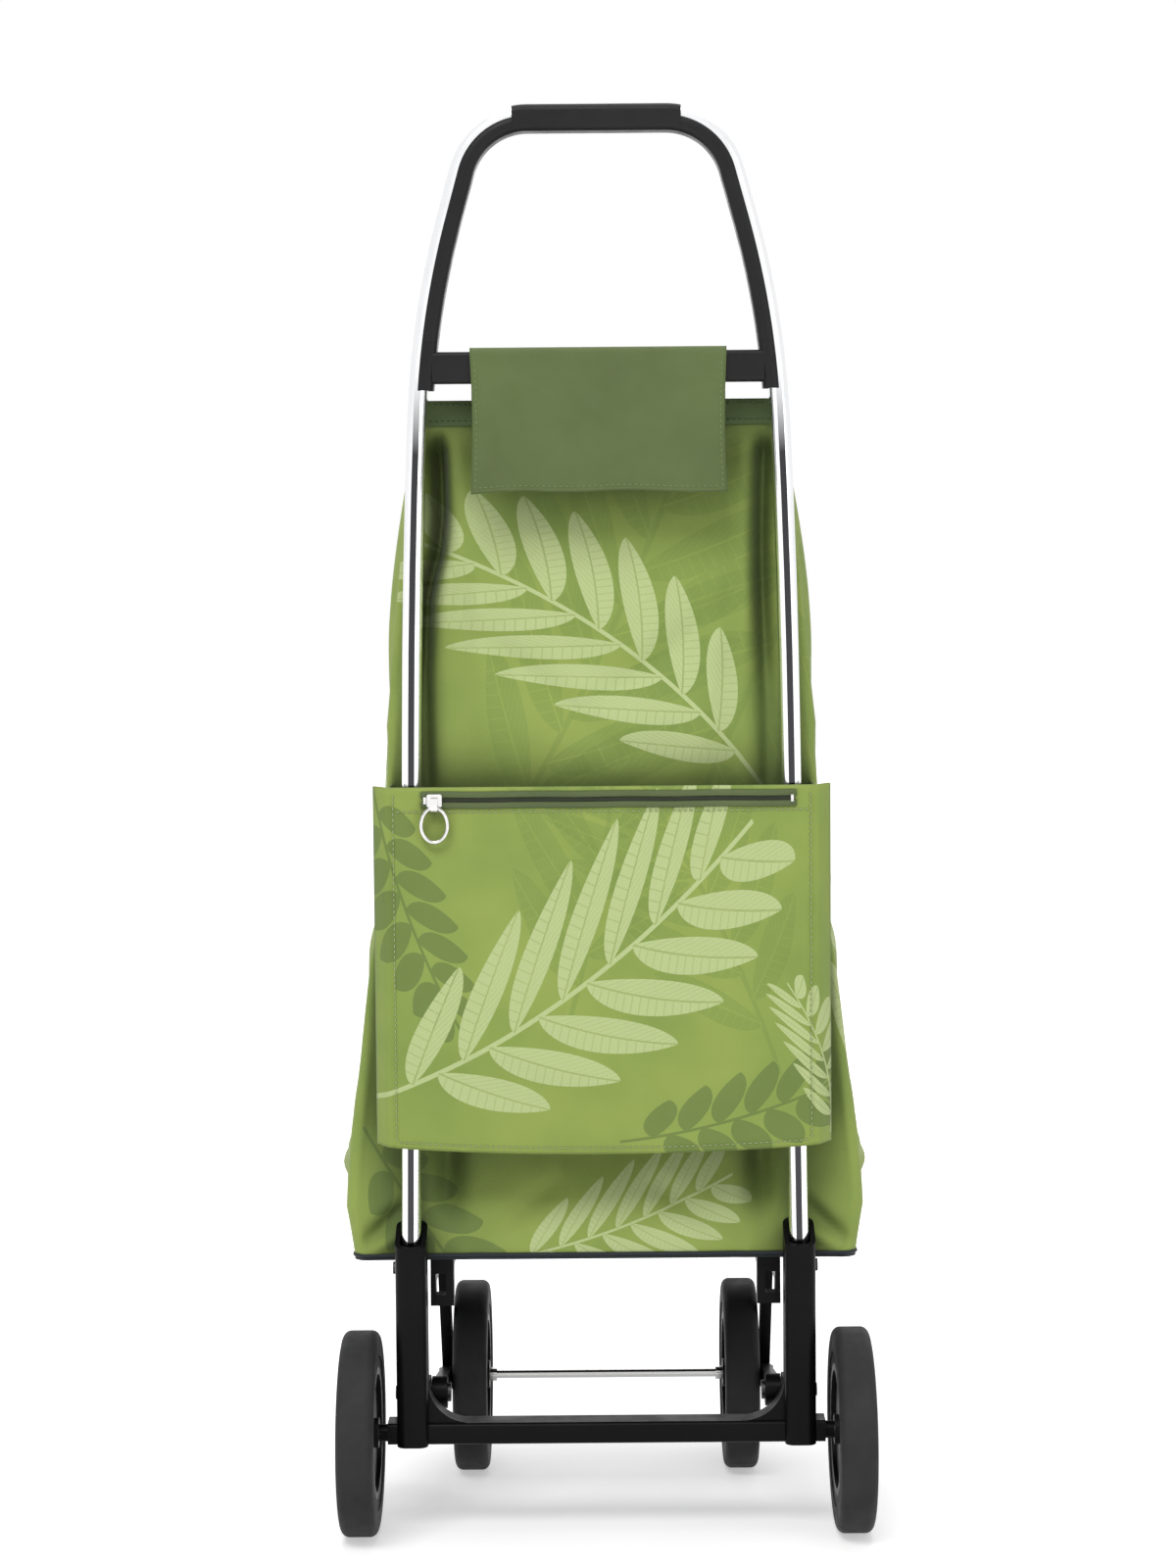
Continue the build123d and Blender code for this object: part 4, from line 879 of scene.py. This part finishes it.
# ---------------------------------------------------------------- floor, world and lamps
# The floor and the world are white to the camera and in reflections. They light the part more dimly.
AMBIENT, BACKDROP = 0.38, 1.0
FLOOR_HALF, FLOOR_GLOW_NEAR, FLOOR_GLOW_REACH = 30, 0.37, 1.4
floor_nodes = Nodes("floor_paper")
paper_place = floor_nodes.place()
reach = floor_nodes.add("ShaderNodeVectorMath", operation="LENGTH")
floor_nodes.join(paper_place, reach.inputs[0])
path = floor_nodes.add("ShaderNodeLightPath")
seen = floor_nodes.math("MAXIMUM", path.outputs["Is Camera Ray"], path.outputs["Is Glossy Ray"])
fibre = floor_nodes.noise(paper_place, 300.0, 2.0)
glow = floor_nodes.span(reach.outputs["Value"], 0.0, FLOOR_GLOW_REACH, FLOOR_GLOW_NEAR, 1.0)
floor_nodes.set(Base_Color=floor_nodes.mix(fibre, shade(0.88, 0.88, 0.88), shade(0.90, 0.90, 0.90)),
                Roughness=0.8, Specular_IOR_Level=0.0, Emission_Color=shade(1.0, 1.0, 1.0),
                Emission_Strength=floor_nodes.math("MULTIPLY", seen, glow))
floor_corners = [(x * FLOOR_HALF, y * FLOOR_HALF, 0) for x, y in ((-1, -1), (1, -1), (1, 1), (-1, 1))]
floor = new_piece("floor", floor_corners, [(0, 1, 2, 3)], floor_nodes.material, None)

world = bpy.data.worlds.new("studio")
bpy.context.scene.world = world
world.use_nodes = True
tree = world.node_tree
background = tree.nodes["Background"]
rays = tree.nodes.new("ShaderNodeLightPath")
plain = tree.nodes.new("ShaderNodeMath")
plain.operation = "MAXIMUM"
tree.links.new(rays.outputs["Is Camera Ray"], plain.inputs[0])
tree.links.new(rays.outputs["Is Glossy Ray"], plain.inputs[1])
strength = tree.nodes.new("ShaderNodeMapRange")
strength.inputs["To Min"].default_value = AMBIENT
strength.inputs["To Max"].default_value = BACKDROP
tree.links.new(plain.outputs[0], strength.inputs["Value"])
tree.links.new(strength.outputs[0], background.inputs["Strength"])
background.inputs["Color"].default_value = shade(1.0, 1.0, 1.0)


def lamp(name, place, aim, size, power):
    """An area lamp at a place, turned towards its aim."""
    data = bpy.data.lights.new(name, "AREA")
    data.shape = "RECTANGLE"
    data.size, data.size_y = size
    data.energy = power
    light = bpy.data.objects.new(name, data)
    light.location = place
    direction = np.array(aim, float) - np.array(place, float)
    yaw = atan2(direction[1], direction[0]) - pi / 2
    pitch = atan2(direction[2], (direction[0] ** 2 + direction[1] ** 2) ** 0.5) + pi / 2
    light.rotation_euler = (pitch, 0.0, yaw)
    bpy.context.scene.collection.objects.link(light)


lamp("key", (-0.7, -2.3, 2.9), (0, 0, 0.5), (1.8, 1.2), 54)
lamp("fill", (1.9, -2.2, 1.3), (0, 0, 0.5), (1.2, 1.6), 9)
lamp("top", (0.2, 0.4, 3.0), (0, 0, 0.4), (2.0, 2.0), 24)
lamp("back", (0.0, 2.8, 1.8), (0, 0, 0.6), (2.2, 1.4), 14)

bpy.context.scene.view_settings.view_transform = "Standard"
